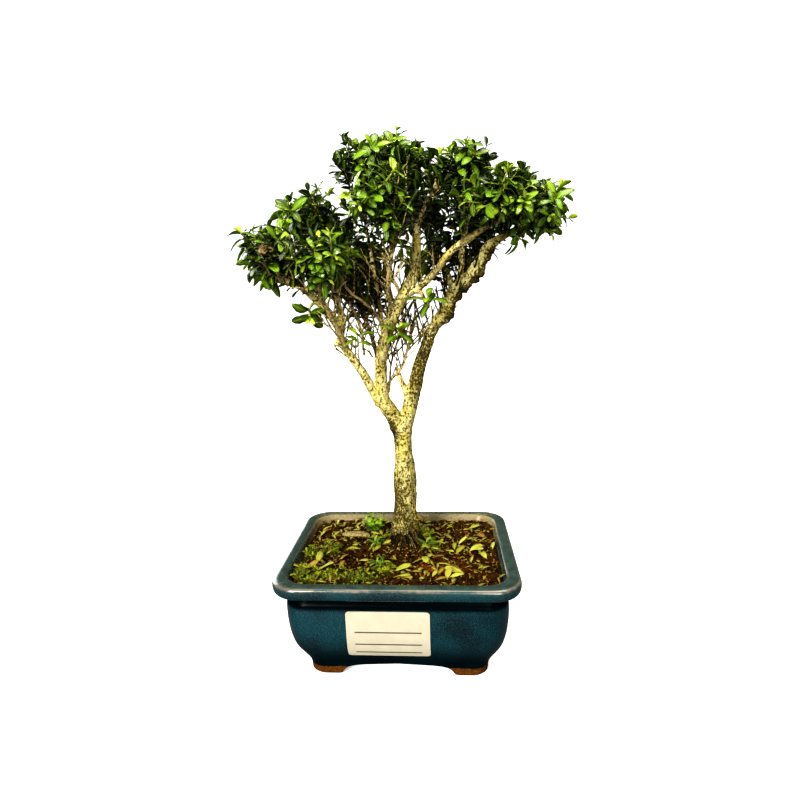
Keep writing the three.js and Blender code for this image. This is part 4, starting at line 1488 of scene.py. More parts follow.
    def build(self, earth: Material, moss: Material) -> None:
        """Builds and dresses the filling, its crumbs and its moss.

        Args:
            earth: finish of the soil.
            moss: finish of the moss.
        """
        filling, crumbs = self.skin(), self.crumb_skin()
        filling.marked(rust=self.rusty(filling.points), moss=self.mossy(filling.points))
        crumbs.marked(moss=self.mossy(crumbs.points))
        add_skin("soil_filling", filling, earth, Slot.SOIL, "soil")
        add_piece(mesh_from("soil_crumbs", crumbs, rounded=False), earth, Slot.SOIL)
        add_skin("moss_tufts", self.moss_skin(), moss, Slot.SOIL)
        add_skin("moss_sprouts", self.sprout_skin(), moss, Slot.SOIL)


@dataclass
class Litter:
    """What lies on the soil: fallen leaves and the chip of bark."""

    soil: PottingSoil
    # Place, heading in degrees and length of the frame's leaves, and of the loose ones.
    leaves: Table = (
        (-50, -34, 20, 12), (-2, -34, 15, 12), (42, -36, 170, 13), (46, -6, 35, 12),
    )
    loose: Table = (
        (-58, -33, 37, 10), (-53, -24, 82, 13), (-37, 1, -12, 9), (-39, -20, 48, 9), (-26, -19, -48, 11),
        (-2, -42, -24, 13), (-41, -47, 58, 8), (-13, 0, 28, 8), (-60, 30, 23, 8), (29, 21, -62, 12),
        (39, 3, 40, 9), (45, 12, -61, 14), (47, -4, -25, 10), (23, -5, -39, 8), (24, 5, -49, 10),
        (37, -9, 57, 12), (30, -6, -41, 8), (32, -42, 14, 10), (31, -45, 80, 12), (23, -45, 9, 9),
        (46, 31, -21, 11), (47, -24, -46, 9), (18, 2, -88, 12), (2, -42, -36, 11), (17, -14, -85, 13),
        (53, 20, -70, 11), (9, -22, 25, 9), (-27, 34, 10, 9), (-45, 12, -35, 9), (57, -17, 110, 10),
    )
    scraps: int = 520
    scrap_seed: int = 37
    chip_place: tuple[float, float] = (-33.0, 19.0)
    chip_size: Triple = (20.0, 7.0, 3.4)
    chip_turn: float = -0.12

    def leaf_row(self, index: int, row: tuple[float, float, float, float], lift: float) -> tuple:
        """One leaf that lies on the soil, from its place, heading in degrees and length.

        Args:
            index: picks the draws.
            row: place, heading and length.
            lift: height of its foot over the soil.

        Returns:
            Its row for Blades.of.
        """
        x, y, degrees, length = row
        draws = [chance(index, salt) for salt in range(7, 14)]
        heading = unit(compass(math.radians(degrees), 0.12 + 0.25 * draws[0]))
        face = square_to(heading, np.array([draws[1] - 0.5, draws[2] - 0.5, 1.1]))
        foot = np.array([x, y, self.soil.height(x, y) + lift])
        width, curl = length * (0.32 + 0.14 * draws[4]), 0.1 + 0.25 * draws[3]
        return foot, heading, face, length, width, curl, draws[5], draws[6] * min(length / 8, 1)

    def chip_skin(self) -> Skin:
        """The chip: rounded sections along it, thin at both ends and roughened by noise.

        Returns:
            The surface.
        """
        length, width, height = self.chip_size
        along = np.linspace(-0.5, 0.5, 48)[:, None]
        angle = np.linspace(0, 2 * np.pi, 36, endpoint=False)[None]
        share = np.interp(along, [-0.5, -0.3, 0.1, 0.38, 0.5], [0.3, 0.9, 1.0, 0.75, 0.25])
        y = width / 2 * share * np.cos(angle) + 0.5 * np.sin(7 * along)
        z = height * (0.5 + 0.5 * share) * (0.5 + 0.5 * np.sin(angle)) ** 0.9
        cosine, sine = math.cos(self.chip_turn), math.sin(self.chip_turn)
        x = along * length
        places = columns(x * cosine - y * sine, x * sine + y * cosine, z)
        middle = np.array([*self.chip_place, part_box("bark_chip")[0].z / MM])
        flat = (places + middle).reshape(-1, 3)
        rough = 0.45 * smooth_noise(flat, (4.0, 1.1, 1.1), 31) + 0.25 * smooth_noise(flat, 0.9, 32)
        outward = unit(flat - middle - UP * height / 2)
        return stack((flat + outward * rough[:, None]).reshape(places.shape))

    def build(self, dry: Material, bark: Material) -> None:
        """Builds and dresses the leaves of the frame, the loose ones and the chip.

        Args:
            dry: finish of the leaves.
            bark: finish of the chip.
        """
        for index, row in enumerate(self.leaves):
            name = f"fallen_leaf_{index + 1:02d}"
            blades = Blades.of([self.leaf_row(index, row, 1.1)])
            add_skin(name + "_blade", blades.skin(), dry, Slot.FALLEN, name)
        rows = [self.leaf_row(20 + i, row, 1.0 + 0.5 * chance(i, 40)) for i, row in enumerate(self.loose)]
        add_skin("fallen_leaves_loose", Blades.of(rows).skin(), dry, Slot.FALLEN)
        x, y = self.soil.scatter(self.scraps, self.scrap_seed)
        bits = []
        for i in range(self.scraps):
            row = (x[i], y[i], 360 * chance(i, 41), 2.2 + 6.5 * chance(i, 42) ** 2.5)
            bits.append(self.leaf_row(100 + i, row, 0.5 + 0.8 * chance(i, 43)))
        add_skin("leaf_scraps", PlainBlades.of(bits).skin(), dry, Slot.FALLEN)
        add_skin("bark_chip_split", self.chip_skin(), bark, Slot.CHIP, "bark_chip")


@dataclass
class Weed:
    """The small bushy weed behind the chip, and three seedlings in front of the trunk."""

    soil: PottingSoil
    place: tuple[float, float] = (-20.0, 23.0)
    stems: int = 13
    seedlings: Table = ((18.0, -3.0), (-12.0, -27.0), (-16.0, 2.0))

    def plant(self, x: float, y: float, stems: int, tall: float, leaf: float, slim: float, key: int) -> Skin:
        """One small plant: stems from one foot, each with crosswise pairs of leaves.

        Args:
            x: place left to right.
            y: place front to back.
            stems: number of stems.
            tall: height of the tallest stem.
            leaf: length of a grown leaf.
            slim: width of a leaf over its length.
            key: picks the draws.

        Returns:
            The plant's surface.
        """
        foot = np.array([x, y, self.soil.height(x, y) - 1.5])
        rows, paths = [], []
        for i in range(stems):
            out = compass(2 * math.pi * (i + 0.4 * chance(key, i, 1)) / stems)
            rise = tall * (0.65 + 0.35 * chance(key, i, 2))
            reach = tall * (0.1 + 0.5 * chance(key, i, 3))
            path = SmoothPath(bent_path(foot, UP, foot + out * reach + UP * rise, 0.5))
            paths.append(path.at(np.linspace(0, 1, 6)))
            for whorl, share in enumerate((1.0, 0.72, 0.48)):
                node, axis = path.spot(share)
                first = square_to(axis, compass(i + whorl * 1.57, 0.1))
                young = whorl == 0
                for way in (1, -1):
                    heading = unit(way * first + axis * (0.3 + 0.4 * chance(key, i, whorl, 4)))
                    face = square_to(heading, axis + 0.5 * UP)
                    length = leaf * (0.65 + 0.35 * chance(key, i, whorl, way + 5)) * (0.75 if young else 1)
                    youth = 0.75 if young else 0.3 * chance(key, i, whorl)
                    rows.append((node, heading, face, length, slim * length, 0.35,
                                 chance(key, i, whorl, way + 8), youth))
        stem = tubes(np.array(paths), np.tile(np.linspace(0.55, 0.3, 6), (stems, 1)), 6)
        return joined([Blades.of(rows).skin(), stem.marked(stem=1, tone=0.5, youth=0.3)])

    def build(self, green: Material) -> None:
        """Builds and dresses the weed and the seedlings.

        Args:
            green: the finish.
        """
        weed = self.plant(*self.place, self.stems, 14.5, 5.4, 0.9, 3)
        add_skin("weed_bush", weed, green, Slot.WEED, "weed")
        shoots = [self.plant(x, y, 2, 7.0, 8.5, 0.3, 30 + i) for i, (x, y) in enumerate(self.seedlings)]
        add_skin("seedlings", joined(shoots), green, Slot.WEED)


# ---- the tree
# Place and radius of the wood's middle along each limb, from its fork to its end.
LIMBS: dict[str, Table] = {
    "left_fork": ((2, 11, 143, 6), (-5, 9, 158, 5.6), (-10.5, 7, 167.5, 5)),
    "centre": (
        (-9, 7.5, 163, 4.2), (-10, 4, 184, 3.8), (-8, 1, 200, 3.6), (-5, -1, 209, 3.6), (2, -4, 225.5, 3.7),
        (10, -6, 238.5, 3.6), (14.5, -7, 248.5, 3), (15.5, -8, 260, 2.6), (15.5, -9, 275, 2.2),
    ),
    "centre_left_tip": ((15.5, -9, 273, 1.9), (11, -10, 283, 1.4), (5, -6, 296, 1.1)),
    "centre_right_tip": ((15.5, -9, 273, 1.9), (20.5, -12, 283, 1.5), (27, -8, 295, 1.1)),
    "outer": (
        (-11, 7.5, 163, 3.8), (-21, 2, 184, 3.1), (-28, -2, 196, 2.8), (-33, -5, 205.5, 2.6),
        (-32.5, -7, 214.5, 2.4), (-32, -9, 225, 2.1),
    ),
    "cut_stub": ((-32, -4.5, 204, 2.2), (-37, -6, 205.5, 2.6)),
    "left_reach": (
        (-32.5, -6.5, 212, 2.2), (-39.5, -12, 224.5, 2.7), (-47.5, -16, 234, 2.5), (-53, -19, 239.5, 2),
        (-62.5, -22, 243, 1.5), (-72, -25, 246, 1.1),
    ),
    "left_riser": ((-32, -9, 223, 1.7), (-34, -10, 232, 1.4), (-40, -10, 250, 1.1), (-46, -6, 264, 0.9)),
    "right": (
        (3, 11, 144, 5.9), (8.8, 12, 163, 5.3), (13, 13, 180, 4.8), (17.8, 14, 195, 4.2),
        (21.5, 15, 205.5, 4), (24.5, 15.5, 212, 3.9), (31, 16, 221.5, 4.1), (35, 16, 230, 4.2),
        (40, 16, 238.5, 3.9),
    ),
    "right_reach": (
        (38, 16, 236, 3.6), (49, 15, 245.5, 3.6), (55.5, 13, 255.5, 3.3), (59, 11, 262, 3),
        (65, 9, 266, 2.6), (74, 6, 270.5, 2.1), (84, 3, 275, 1.5),
    ),
    "right_back": (
        (38.5, 16.5, 236, 2.7), (33.5, 24, 248, 2.3), (29, 30, 259.5, 2), (24, 35, 271, 1.6),
        (21, 38, 282, 1.2),
    ),
    "crossing": (
        (7, -5.5, 233, 2.3), (16, -10, 237.5, 2), (26, -14, 246, 2.1), (35.5, -18, 257.5, 2.1),
        (51.5, -23, 268, 1.8), (65, -26, 275, 1.5), (76, -27, 279, 1.1),
    ),
    "back_left": (
        (-9.5, 6, 177, 1.9), (-14, 18, 196, 1.6), (-22, 30, 218, 1.4), (-34, 40, 242, 1.2),
        (-43, 44, 262, 1),
    ),
    "back_right": ((23, 15.5, 208, 1.8), (32, 26, 226, 1.6), (43, 35, 246, 1.3), (54, 40, 264, 1)),
    "front_left": ((-30, -3, 199, 1.6), (-33, -16, 214, 1.3), (-38, -30, 230, 1.1), (-41, -38, 241, 0.9)),
    "front_middle": ((0, -3.5, 221, 1.5), (-2, -16, 238, 1.2), (2, -28, 256, 1.1), (6, -34, 270, 0.9)),
    "top_left": (
        (-7, 0, 203, 1.5), (-9, 3, 228, 1.3), (-13, 4, 256, 1.2), (-17, 3, 284, 1), (-18, 2, 297, 0.9),
    ),
    "top_right": ((42, 16, 240, 2.1), (43, 11, 258, 1.7), (44, 5, 276, 1.3), (45, 1, 292, 1)),
}
# Thin stems that grow from the limbs and stay bare.
STEMS: tuple[Table, ...] = (
    ((7, 12, 165, 2.2), (5, 12, 172, 1.9), (2, 12, 179.5, 1.7), (0, 12, 186.5, 1.2)),
    (
        (-7, 8, 173, 1), (-4, 9, 179, 1), (3, 12, 186.5, 1), (7.5, 14, 199.5, 0.9), (10, 15, 209, 0.8),
        (12.5, 16, 220, 0.7),
    ),
    ((-5, 8, 171, 0.8), (-4, 14, 188, 0.7), (0, 18, 202.5, 0.7), (5.5, 22, 217.5, 0.6)),
    ((7, 14, 197, 0.7), (12.5, 10, 203, 0.6), (18, 6, 207.5, 0.5)),
    ((6, 18, 201, 0.8), (4.5, 16, 214.5, 0.8), (5, 4, 228, 0.8)),
    (
        (-5, 0, 216, 1.1), (-11, 0, 222, 1), (-18.5, -6, 230.5, 0.9), (-25, -10, 235.5, 0.9),
        (-30, -14, 244, 0.8), (-33, -16, 254, 0.7),
    ),
    ((2, -3, 229, 1), (-8.5, 4, 240.5, 0.9), (-17, 6, 249, 0.8), (-26.5, 8, 257.5, 0.7)),
    ((5, -4, 234, 1.1), (2, 0, 240, 1), (-2.5, -2, 249, 0.9), (-5, -4, 260, 0.8)),
    ((-20, 2, 196, 0.9), (-22, 2, 214, 0.9), (-27.5, 6, 227.5, 0.8), (-33, 10, 244.5, 0.7)),
)


@dataclass(frozen=True)
class Head:
    """A leafy head: an ellipsoid of sprays round the end of a limb."""

    limb: str
    centre: Triple
    reach: Triple
    sprays: int
    turn: float
    freshness: float = 1.0


@dataclass(frozen=True)
class LowSpray:
    """A spray that stands alone on a limb: where it ends, its pairs of leaves and its side shoots."""

    limb: str
    share: float
    end: Triple
    heading: Triple
    pairs: int
    side_shoots: int = 0
    freshness: float = 1.0


HEADS = (
    Head("left_reach", (-73, -19, 258), (20, 22, 28), 4, 0.7),
    Head("left_riser", (-54, -1, 281), (28, 24, 21), 3, 6.1, 0.5),
    Head("front_left", (-33, -42, 252), (20, 17, 19), 3, 5.1),
    Head("top_left", (-13, 1, 309), (20, 24, 22), 3, 2.6),
    Head("centre_left_tip", (5, 4, 312), (20, 22, 22), 3, 2.2),
    Head("front_middle", (-3, -40, 284), (22, 17, 19), 3, 5.4, 1.2),
    Head("top_right", (45, 2, 303), (22, 26, 20), 3, 4.8),
    Head("crossing", (64, -35, 284), (26, 16, 17), 3, 4.8),
    Head("right_reach", (89, 0, 280), (23, 25, 20), 4, 0.2, 0.7),
    Head("back_left", (-47, 48, 277), (24, 20, 22), 3, 1.9),
    Head("right_back", (13, 54, 289), (28, 20, 21), 3, 4.5),
    Head("back_right", (56, 45, 278), (28, 20, 20), 3, 2.9),
)
LOW_SPRAYS = (
    LowSpray("outer", 0.62, (-22, -13, 210), (0.3, -0.5, 0.8), 3, freshness=1.7),
    LowSpray("centre", 0.3, (4, -15, 212), (0.5, -0.6, 0.7), 3),
    LowSpray("crossing", 0.12, (22, -20, 232), (0.1, -0.8, 0.6), 3),
    LowSpray("left_reach", 0.3, (-50, -16, 222), (-0.2, -0.35, -0.9), 4, freshness=0.2),
    LowSpray("right_reach", 0.7, (79, 1, 265), (0.8, -0.2, -0.4), 4),
    LowSpray("centre_right_tip", 1, (30, -9, 313), (0.2, -0.1, 1), 5),
    LowSpray("top_left", 0.45, (-20, 14, 262), (-0.5, 0.6, 0.6), 5, 5),
    LowSpray("back_left", 0.5, (-14, 32, 246), (0.5, 0.5, 0.7), 5, 5),
    LowSpray("right_back", 0.35, (10, 26, 258), (-0.6, 0.3, 0.7), 5, 5),
    LowSpray("back_left", 0.7, (-36, 20, 252), (-0.5, -0.5, 0.7), 5, 5),
)


@dataclass
class Spray:
    """One leafy shoot and the wood that carries it."""

    limb: str
    leads: bool
    share: float
    start: Array
    end: Array
    heading: Array
    key: int
    centre: Array
    reach: Array
    pairs: int = 5
    side_shoots: int = 6
    alone: bool = False
    freshness: float = 1.0

    def carrier(self) -> Array:
        """Points of the wood that ends at the shoot's foot: its limb run on, or a twig of its own.

        Returns:
            (n, 3) points.
        """
        limb = np.array(LIMBS[self.limb])[:, :3]
        if self.leads:
            return np.vstack([limb, self.start])
        return bent_path(*SmoothPath(limb).spot(self.share), self.start, 0.45)

    def shoot(self) -> Array:
        """Three points along the green shoot, from just past the wood."""
        _, heading = SmoothPath(self.carrier()).spot(1.0)
        return bent_path(self.start + 0.2 * heading, unit(0.7 * heading + 0.3 * self.heading), self.end, 0.5)


def lay_out_sprays() -> list[Spray]:
    """Every spray of the crown.

    In a head, ray i rises by 0.88 - (i + 0.35)/n and turns by the golden angle from the ray
    before; its shoot runs from three tenths of the way out to just inside the ellipsoid.

    Returns:
        The sprays in the order of their nodes.
    """
    sprays = []
    for number, head in enumerate(HEADS):
        for i in range(head.sprays):
            rise = 0.88 - (i + 0.35) / head.sprays
            ray = math.sqrt(1 - rise * rise) * compass(head.turn + i * GOLDEN_ANGLE) + rise * UP
            centre, reach = np.array(head.centre, float), np.array(head.reach, float)
            shell = (reach - 2) * ray
            start = centre + 0.3 * shell - 3 * UP
            sprays.append(Spray(head.limb, i == 0, 1 - 0.14 * i, start, centre + shell, ray,
                                number * 8 + i, centre, reach, freshness=head.freshness))
    for i, low in enumerate(LOW_SPRAYS):
        heading, end = unit(np.array(low.heading, float)), np.array(low.end, float)
        sprays.append(Spray(low.limb, False, low.share, end - 9 * heading, end, heading, 120 + i,
                            end - 4 * heading, np.full(3, 15.0), low.pairs, low.side_shoots, True,
                            low.freshness))
    return sprays


@dataclass
class TreeWood:
    """The trunk and its limbs in one skin, with twigs grown out of them."""

    sprays: list[Spray]
    foot: tuple[float, float] = (2.5, 12.0)
    # Height, radius and shift to the right of the root stock and the trunk.
    profile: Table = (
        (44, 5, 0), (58, 9.2, 0), (69, 10.4, 0), (75, 9.1, 0), (81, 8.4, 0.1), (89, 8, 0.3), (103, 7.7, 0.7),
        (114, 7.5, 1), (123, 6.5, 0.9), (131, 5.9, 0.5), (140, 6.1, 0.2), (147, 7.5, -1.4), (152, 4.5, -1.5),
    )
    voxel: float = 0.62
    end_radius: float = 1.0
    slimness: float = 0.93

    def trunk_skin(self) -> Skin:
        """The trunk: round sections with flutes that deepen towards the ground.

        The radius at an angle a is r(z) * (1 + 0.1*f*cos(5a + 1) + 0.05*f*cos(9a + z/9)
        + 0.03*cos(3a - z/14)), where f grows from 0 high up to 1 at the foot.

        Returns:
            The surface.
        """
        knots = np.array([(radius, shift, height) for height, radius, shift in self.profile])
        fine = SmoothPath(knots).at(np.linspace(0, 1, 110))
        radius, shift, height = (fine[:, k: k + 1] for k in range(3))
        lean = np.clip((height - 120) / 28, 0, 1)
        fluted = np.clip((92 - height) / 16, 0, 1)
        angle = np.linspace(0, 2 * np.pi, 72, endpoint=False)[None]
        swell = 1 + 0.1 * fluted * np.cos(5 * angle + 1) + 0.05 * fluted * np.cos(9 * angle + height / 9)
        swell = swell + 0.03 * np.cos(3 * angle - height / 14)
        x = self.foot[0] + shift + radius * swell * np.cos(angle)
        y = self.foot[1] - lean + radius * swell * np.sin(angle)
        return stack(columns(x, y, height))

    def limb_rows(self) -> list[tuple[Array, Array]]:
        """The points and radii of every limb, run on to the shoot that it leads to.

        Returns:
            Points and radii of each.
        """
        rows = []
        for name, table in LIMBS.items():
            points, radii = np.array(table)[:, :3], np.array(table)[:, 3]
            leader = next((s for s in self.sprays if s.leads and s.limb == name), None)
            if leader is not None:
                points, radii = leader.carrier(), np.append(radii, self.end_radius)
            rows.append((points, radii * (1.0 if name == "centre" else self.slimness)))
        rows += [(np.array(stem)[:, :3], np.array(stem)[:, 3]) for stem in STEMS]
        return rows

    def skeleton(self) -> tuple[Array, Array]:
        """Places along the middles of the trunk and the limbs, with the radius at each.

        Returns:
            (n, 3) places and (n,) radii.
        """
        points, radii = [], []
        for path, widths in self.limb_rows():
            shares = np.linspace(0, 1, 40)
            points.append(SmoothPath(path).at(shares))
            radii.append(np.interp(shares * (len(widths) - 1), np.arange(len(widths)), widths))
        heights = np.linspace(50, 150, 60)
        table = np.array(self.profile)
        x = self.foot[0] + np.interp(heights, table[:, 0], table[:, 2])
        points.append(columns(x, self.foot[1], heights))
        radii.append(np.interp(heights, table[:, 0], table[:, 1]))
        return np.vstack(points), np.concatenate(radii)

    def radius_at(self, points: Array) -> Array:
        """The wood's radius at the nearest place of the skeleton, for each point.

        Args:
            points: (n, 3) places.

        Returns:
            (n,) radii.
        """
        bones, radii = self.skeleton()
        nearest = [
            np.argmin(((block[:, None] - bones[None]) ** 2).sum(axis=-1) - radii[None] ** 2, axis=1)
            for block in np.array_split(points, max(len(points) // 4000, 1))
        ]
        return radii[np.concatenate(nearest)]

    def grime(self, points: Array) -> Array:
        """Dark flakes low down, on the left and on the right limb, and painted shade in the fork and crown.

        Args:
            points: (n, 3) places.

        Returns:
            (n,) amounts.
        """
        x, y, z = points.T
        low = 0.42 * (1 - ease(z, 76, 116)) + 0.3 * (1 - ease(z, 100, 150)) + 1.2 * (1 - ease(z, 69, 75))
        # Painted shade in the fork, on its left.
        fork = 1.3 * hill(z, 143, 10) * ease(-(x - 2), 1, 5)
        left = 0.5 * hill(z, 97, 14) * ease(-(x - 2), 0, 5)
        right = 0.85 * hill(z, 188, 20) * ease(x, 6, 11)
        # Painted shade on the wood inside the crown.
        inside = 0.8 * ease(z, 266, 282) * (1 - ease(x, 32, 44))
        patchy = 0.3 * smooth_noise(points, 11, 61)
        return np.clip(0.2 + low + fork + left + right + inside + patchy, 0, 1.9)

    def underside(self, points: Array, normals: Array) -> Array:
        """How far a point is on the lumpy underside of the right limb, from 0 to 1.

        Args:
            points: (n, 3) places.
            normals: (n, 3) outward directions.

        Returns:
            (n,) shares.
        """
        x, y, z = points.T
        along = ease(x, 25, 34) * (1 - ease(x, 60, 72)) * ease(z, 210, 222) * ease(y, 0, 5)
        return along * ease(0.35 * normals[:, 0] - 0.9 * normals[:, 2], 0.25, 0.8)

    def relief(self, points: Array, radius: Array, under: Array) -> Array:
        """Height of the bark: long low swellings and two sizes of scales, weaker on thin wood.

        Lumps of rough bark stand out of the right limb's underside.

        Args:
            points: (n, 3) places.
            radius: the wood's radius at each.
            under: how far each is on the underside.

        Returns:
            (n,) heights.
        """
        depth = np.clip((radius - 0.9) / 4, 0.05, 1)
        swelling = 0.55 * smooth_noise(points, (6, 6, 11), 51)
        scales = 0.32 * smooth_noise(points, (2.1, 2.1, 3.4), 52) + 0.2 * smooth_noise(points, 1.15, 53)
        lumps = 2.4 + 2.4 * smooth_noise(points, 3.2, 54) + 1.1 * smooth_noise(points, 1.4, 55)
        return depth * (swelling + scales) + under * np.maximum(lumps, 0)

    def build_trunk(self, bark: Material) -> None:
        """Builds the trunk and the limbs, melts them into one skin and roughens it.

        Args:
            bark: the finish.
        """
        limbs = [path_tube(path, radii + 0.1, 1.2, 20) for path, radii in self.limb_rows()]
        mesh = settled_mesh(
            mesh_from("trunk_and_limbs", joined([self.trunk_skin(), *limbs])),
            ("REMESH", {"mode": "VOXEL", "voxel_size": self.voxel * MM, "use_smooth_shade": True}),
            ("SMOOTH", {"factor": 0.5, "iterations": 3}),
        )
        points = places_of(mesh)
        radius = self.radius_at(points)
        normals = normals_of(mesh)
        under = self.underside(points, normals)
        points = points + normals * self.relief(points, radius, under)[:, None]
        mesh.vertices.foreach_set("co", (points * MM + POT_ORIGIN).astype(np.float32).ravel())
        mesh.shade_smooth()
        mesh.update()
        set_marks(mesh, {"grime": self.grime(points) + 1.2 * under, "thin": 1 - ease(radius, 1.0, 2.4)})
        add_piece(mesh, bark, Slot.BARK, "tree_wood")

    def build_twigs(self, bark: Material) -> None:
        """Builds the twigs that carry the sprays.

        Args:
            bark: the finish.
        """
        own = [s for s in self.sprays if not s.leads]
        shares = np.linspace(0, 1, 12)
        paths = np.array([SmoothPath(s.carrier()).at(shares) for s in own])
        radii = np.tile(np.interp(shares, [0, 0.5, 1], [1.7, 1.3, 0.95]), (len(own), 1))
        skin = tubes(paths, radii, 10)
        skin.points += 0.16 * smooth_noise(skin.points, 2.2, 71)[:, None] * np.array([1, 1, 0.3])
        add_skin("spray_twigs", skin.marked(thin=0.8, grime=0.25), bark, Slot.BARK)


@dataclass
class InnerTwigs:
    """Fine twigs all over the limbs: bare in front low down, leafy above and at the back."""

    wood: TreeWood
    spacing: float = 3.7
    back: float = 14.0
    # Place left to right and height of the foliage's underside, in front and at the back.
    underside: Table = (
        (-90, 246), (-60, 248), (-40, 251), (-22, 264), (0, 268), (25, 266), (45, 276), (65, 277), (85, 271),
    )
    underside_at_back: Table = (
        (-60, 238), (-35, 226), (-12, 226), (10, 236), (25, 254), (45, 262), (70, 268),
    )
    rings: int = 9
    lowest: float = 168.0
    # Above this height a twig stands only inside a head.
    ceiling: float = 268.0
    # For each pair of leaves from the tip down: its ring, how far it leans out and its length.
    whorls: Table = ((-1, 0.5, 6.5), (-3, 0.95, 9.5), (-5, 1.15, 10.5), (-7, 1.3, 9.5))

    def paths(self) -> Array:
        """(n, rings, 3) twigs: each leaves a limb at a slant, bends upwards and forks once.

        Returns:
            The places along each twig.
        """
        paths = []
        shares = np.linspace(0, 1, self.rings)
        for number, (path, _) in enumerate(self.wood.limb_rows()):
            limb = SmoothPath(path)
            count = int(np.linalg.norm(np.diff(path, axis=0), axis=1).sum() / self.spacing)
            for i in range(count):
                foot, along = limb.spot(0.1 + 0.88 * (i + chance(number, i, 81)) / count)
                if foot[2] < self.lowest + 25 * chance(number, i, 83):
                    continue
                turn = i * GOLDEN_ANGLE + number
                out = square_to(along, compass(turn, 0.3))
                heading = unit(0.5 * along + 0.75 * out + 0.35 * UP)
                reach = 12 + 18 * chance(number, i, 82)
                end = foot + reach * unit(heading + 0.4 * UP)
                twig = SmoothPath(bent_path(foot, heading, end, 0.4))
                fork, axis = twig.spot(0.55)
                aside = square_to(axis, compass(math.pi / 2 - turn, 0.2))
                tip = fork + 0.5 * reach * unit(axis + 0.7 * aside)
                side = SmoothPath(bent_path(fork, axis, tip, 0.4))
                paths += [twig.at(shares), side.at(shares)]
        return np.array(paths)

    def leafy(self, paths: Array) -> Array:
        """Which twigs carry leaves: with tips above the foliage's underside, and up high in a head.

        Args:
            paths: (n, rings, 3) twigs.

        Returns:
            (n,) true where a twig has leaves.
        """
        x, y, z = paths[:, -1].T
        front, rear = (np.interp(x, *np.array(edge).T) for edge in (self.underside, self.underside_at_back))
        middles = np.array([head.centre for head in HEADS], float)
        reaches = np.array([head.reach for head in HEADS], float)
        away = np.linalg.norm((paths[:, None, -1] - middles) / reaches, axis=-1).min(axis=1)
        return (z > np.where(y > self.back, rear, front)) & ((away < 1.05) | (z < self.ceiling))

    def leaf_skin(self, paths: Array) -> Skin:
        """Pairs of leaves on each twig, turned a quarter from pair to pair, and two at the tip.

        Args:
            paths: (n, rings, 3) twigs.

        Returns:
            The surface.
        """
        rows = []
        for number, path in enumerate(paths):
            axes = unit(np.gradient(path, axis=0))
            for whorl, (ring, lean, longest) in enumerate(self.whorls):
                for half in (0, 1):
                    draws = [chance(number, whorl, half, salt) for salt in range(90, 96)]
                    angle = whorl * math.pi / 2 + number + half * math.pi + 0.6 * draws[0]
                    heading = leaning(axes[ring], angle, lean + 0.3 * draws[1])
                    face = square_to(heading, axes[ring] + 0.8 * UP)
                    length = longest * (0.75 + 0.5 * draws[2])
                    # A low tone paints these inner leaves dark, as shade inside the crown.
                    rows.append((path[ring], heading, face, length, length * (0.42 + 0.14 * draws[3]),
                                 0.1 + 0.25 * draws[4], 0.25 * draws[5], 0.2 * (whorl == 0) * draws[5]))
        return PlainBlades.of(rows).skin()

    def build(self, bark: Material, leaf: Material) -> None:
        """Builds and dresses the twigs and their leaves; no bare twig ends above the ceiling.

        Args:
            bark: finish of the twigs.
            leaf: finish of the leaves.
        """
        paths = self.paths()
        paths = paths[self.leafy(paths) | (paths[:, -1, 2] < self.ceiling)]
        thick = 0.42 + 0.33 * np.array([chance(i, 77) for i in range(len(paths))])
        skin = tubes(paths, np.outer(thick, np.linspace(1.0, 0.5, self.rings)), 5)
        _, y, z = skin.points.T
        # Painted shade: the twigs darken towards the back and up in the crown, to near-black.
        skin.marked(thin=0.7, grime=0.25 + ease(y, -20, 2) * (0.4 + ease(z, 215, 240)))
        add_skin("fine_twigs", skin, bark, Slot.BARK)
        add_skin("inner_leaves", self.leaf_skin(paths[self.leafy(paths)]), leaf, Slot.LEAF)


@dataclass
class RootSkirt:
    """Fine roots and fibres that spread from the trunk's foot over the heaped soil."""

    soil: PottingSoil
    fibres: int = 520
    seed: int = 91

    def build(self, bark: Material) -> None:
        """Builds the fibres: each starts on the trunk's foot and runs out and down to the soil.

        At share s a fibre is start + reach*s^1.3 out from the trunk's middle and top*(1 - s)^2
        over the soil, with a low arch of sin(4*s), and its direction wanders by s*sin(3*s).

        Args:
            bark: the finish.
        """
        draw = np.random.default_rng(self.seed)
        angle = draw.uniform(0, 2 * np.pi, self.fibres)[:, None]
        reach = draw.uniform(5, 15, self.fibres)[:, None]
        start = draw.uniform(7.5, 10.0, self.fibres)[:, None]
        top = draw.uniform(0.5, 5, self.fibres)[:, None]
        s = np.linspace(0, 1, 7)[None]
        bend = angle + 0.25 * draw.normal(0, 1, (self.fibres, 1)) * np.sin(3 * s) * s
        away = start + reach * s**1.3
        x = self.soil.trunk_foot[0] + away * np.cos(bend)
        y = self.soil.trunk_foot[1] + away * np.sin(bend)
        arched = 0.8 * draw.uniform(0, 1, (self.fibres, 1)) * np.sin(4 * s)
        z = self.soil.height(x, y) - 0.4 + top * (1 - s) ** 2 + arched
        radii = draw.uniform(0.22, 0.6, self.fibres)[:, None] * (1 - 0.6 * s)
        skin = tubes(columns(x, y, z), radii, 5)
        each = len(skin.points) // self.fibres
        grime = np.repeat(draw.uniform(0.0, 1.0, self.fibres) ** 0.4 * 2.2, each)
        add_skin("root_fibres", skin.marked(grime=grime, thin=1.0), bark, Slot.BARK)


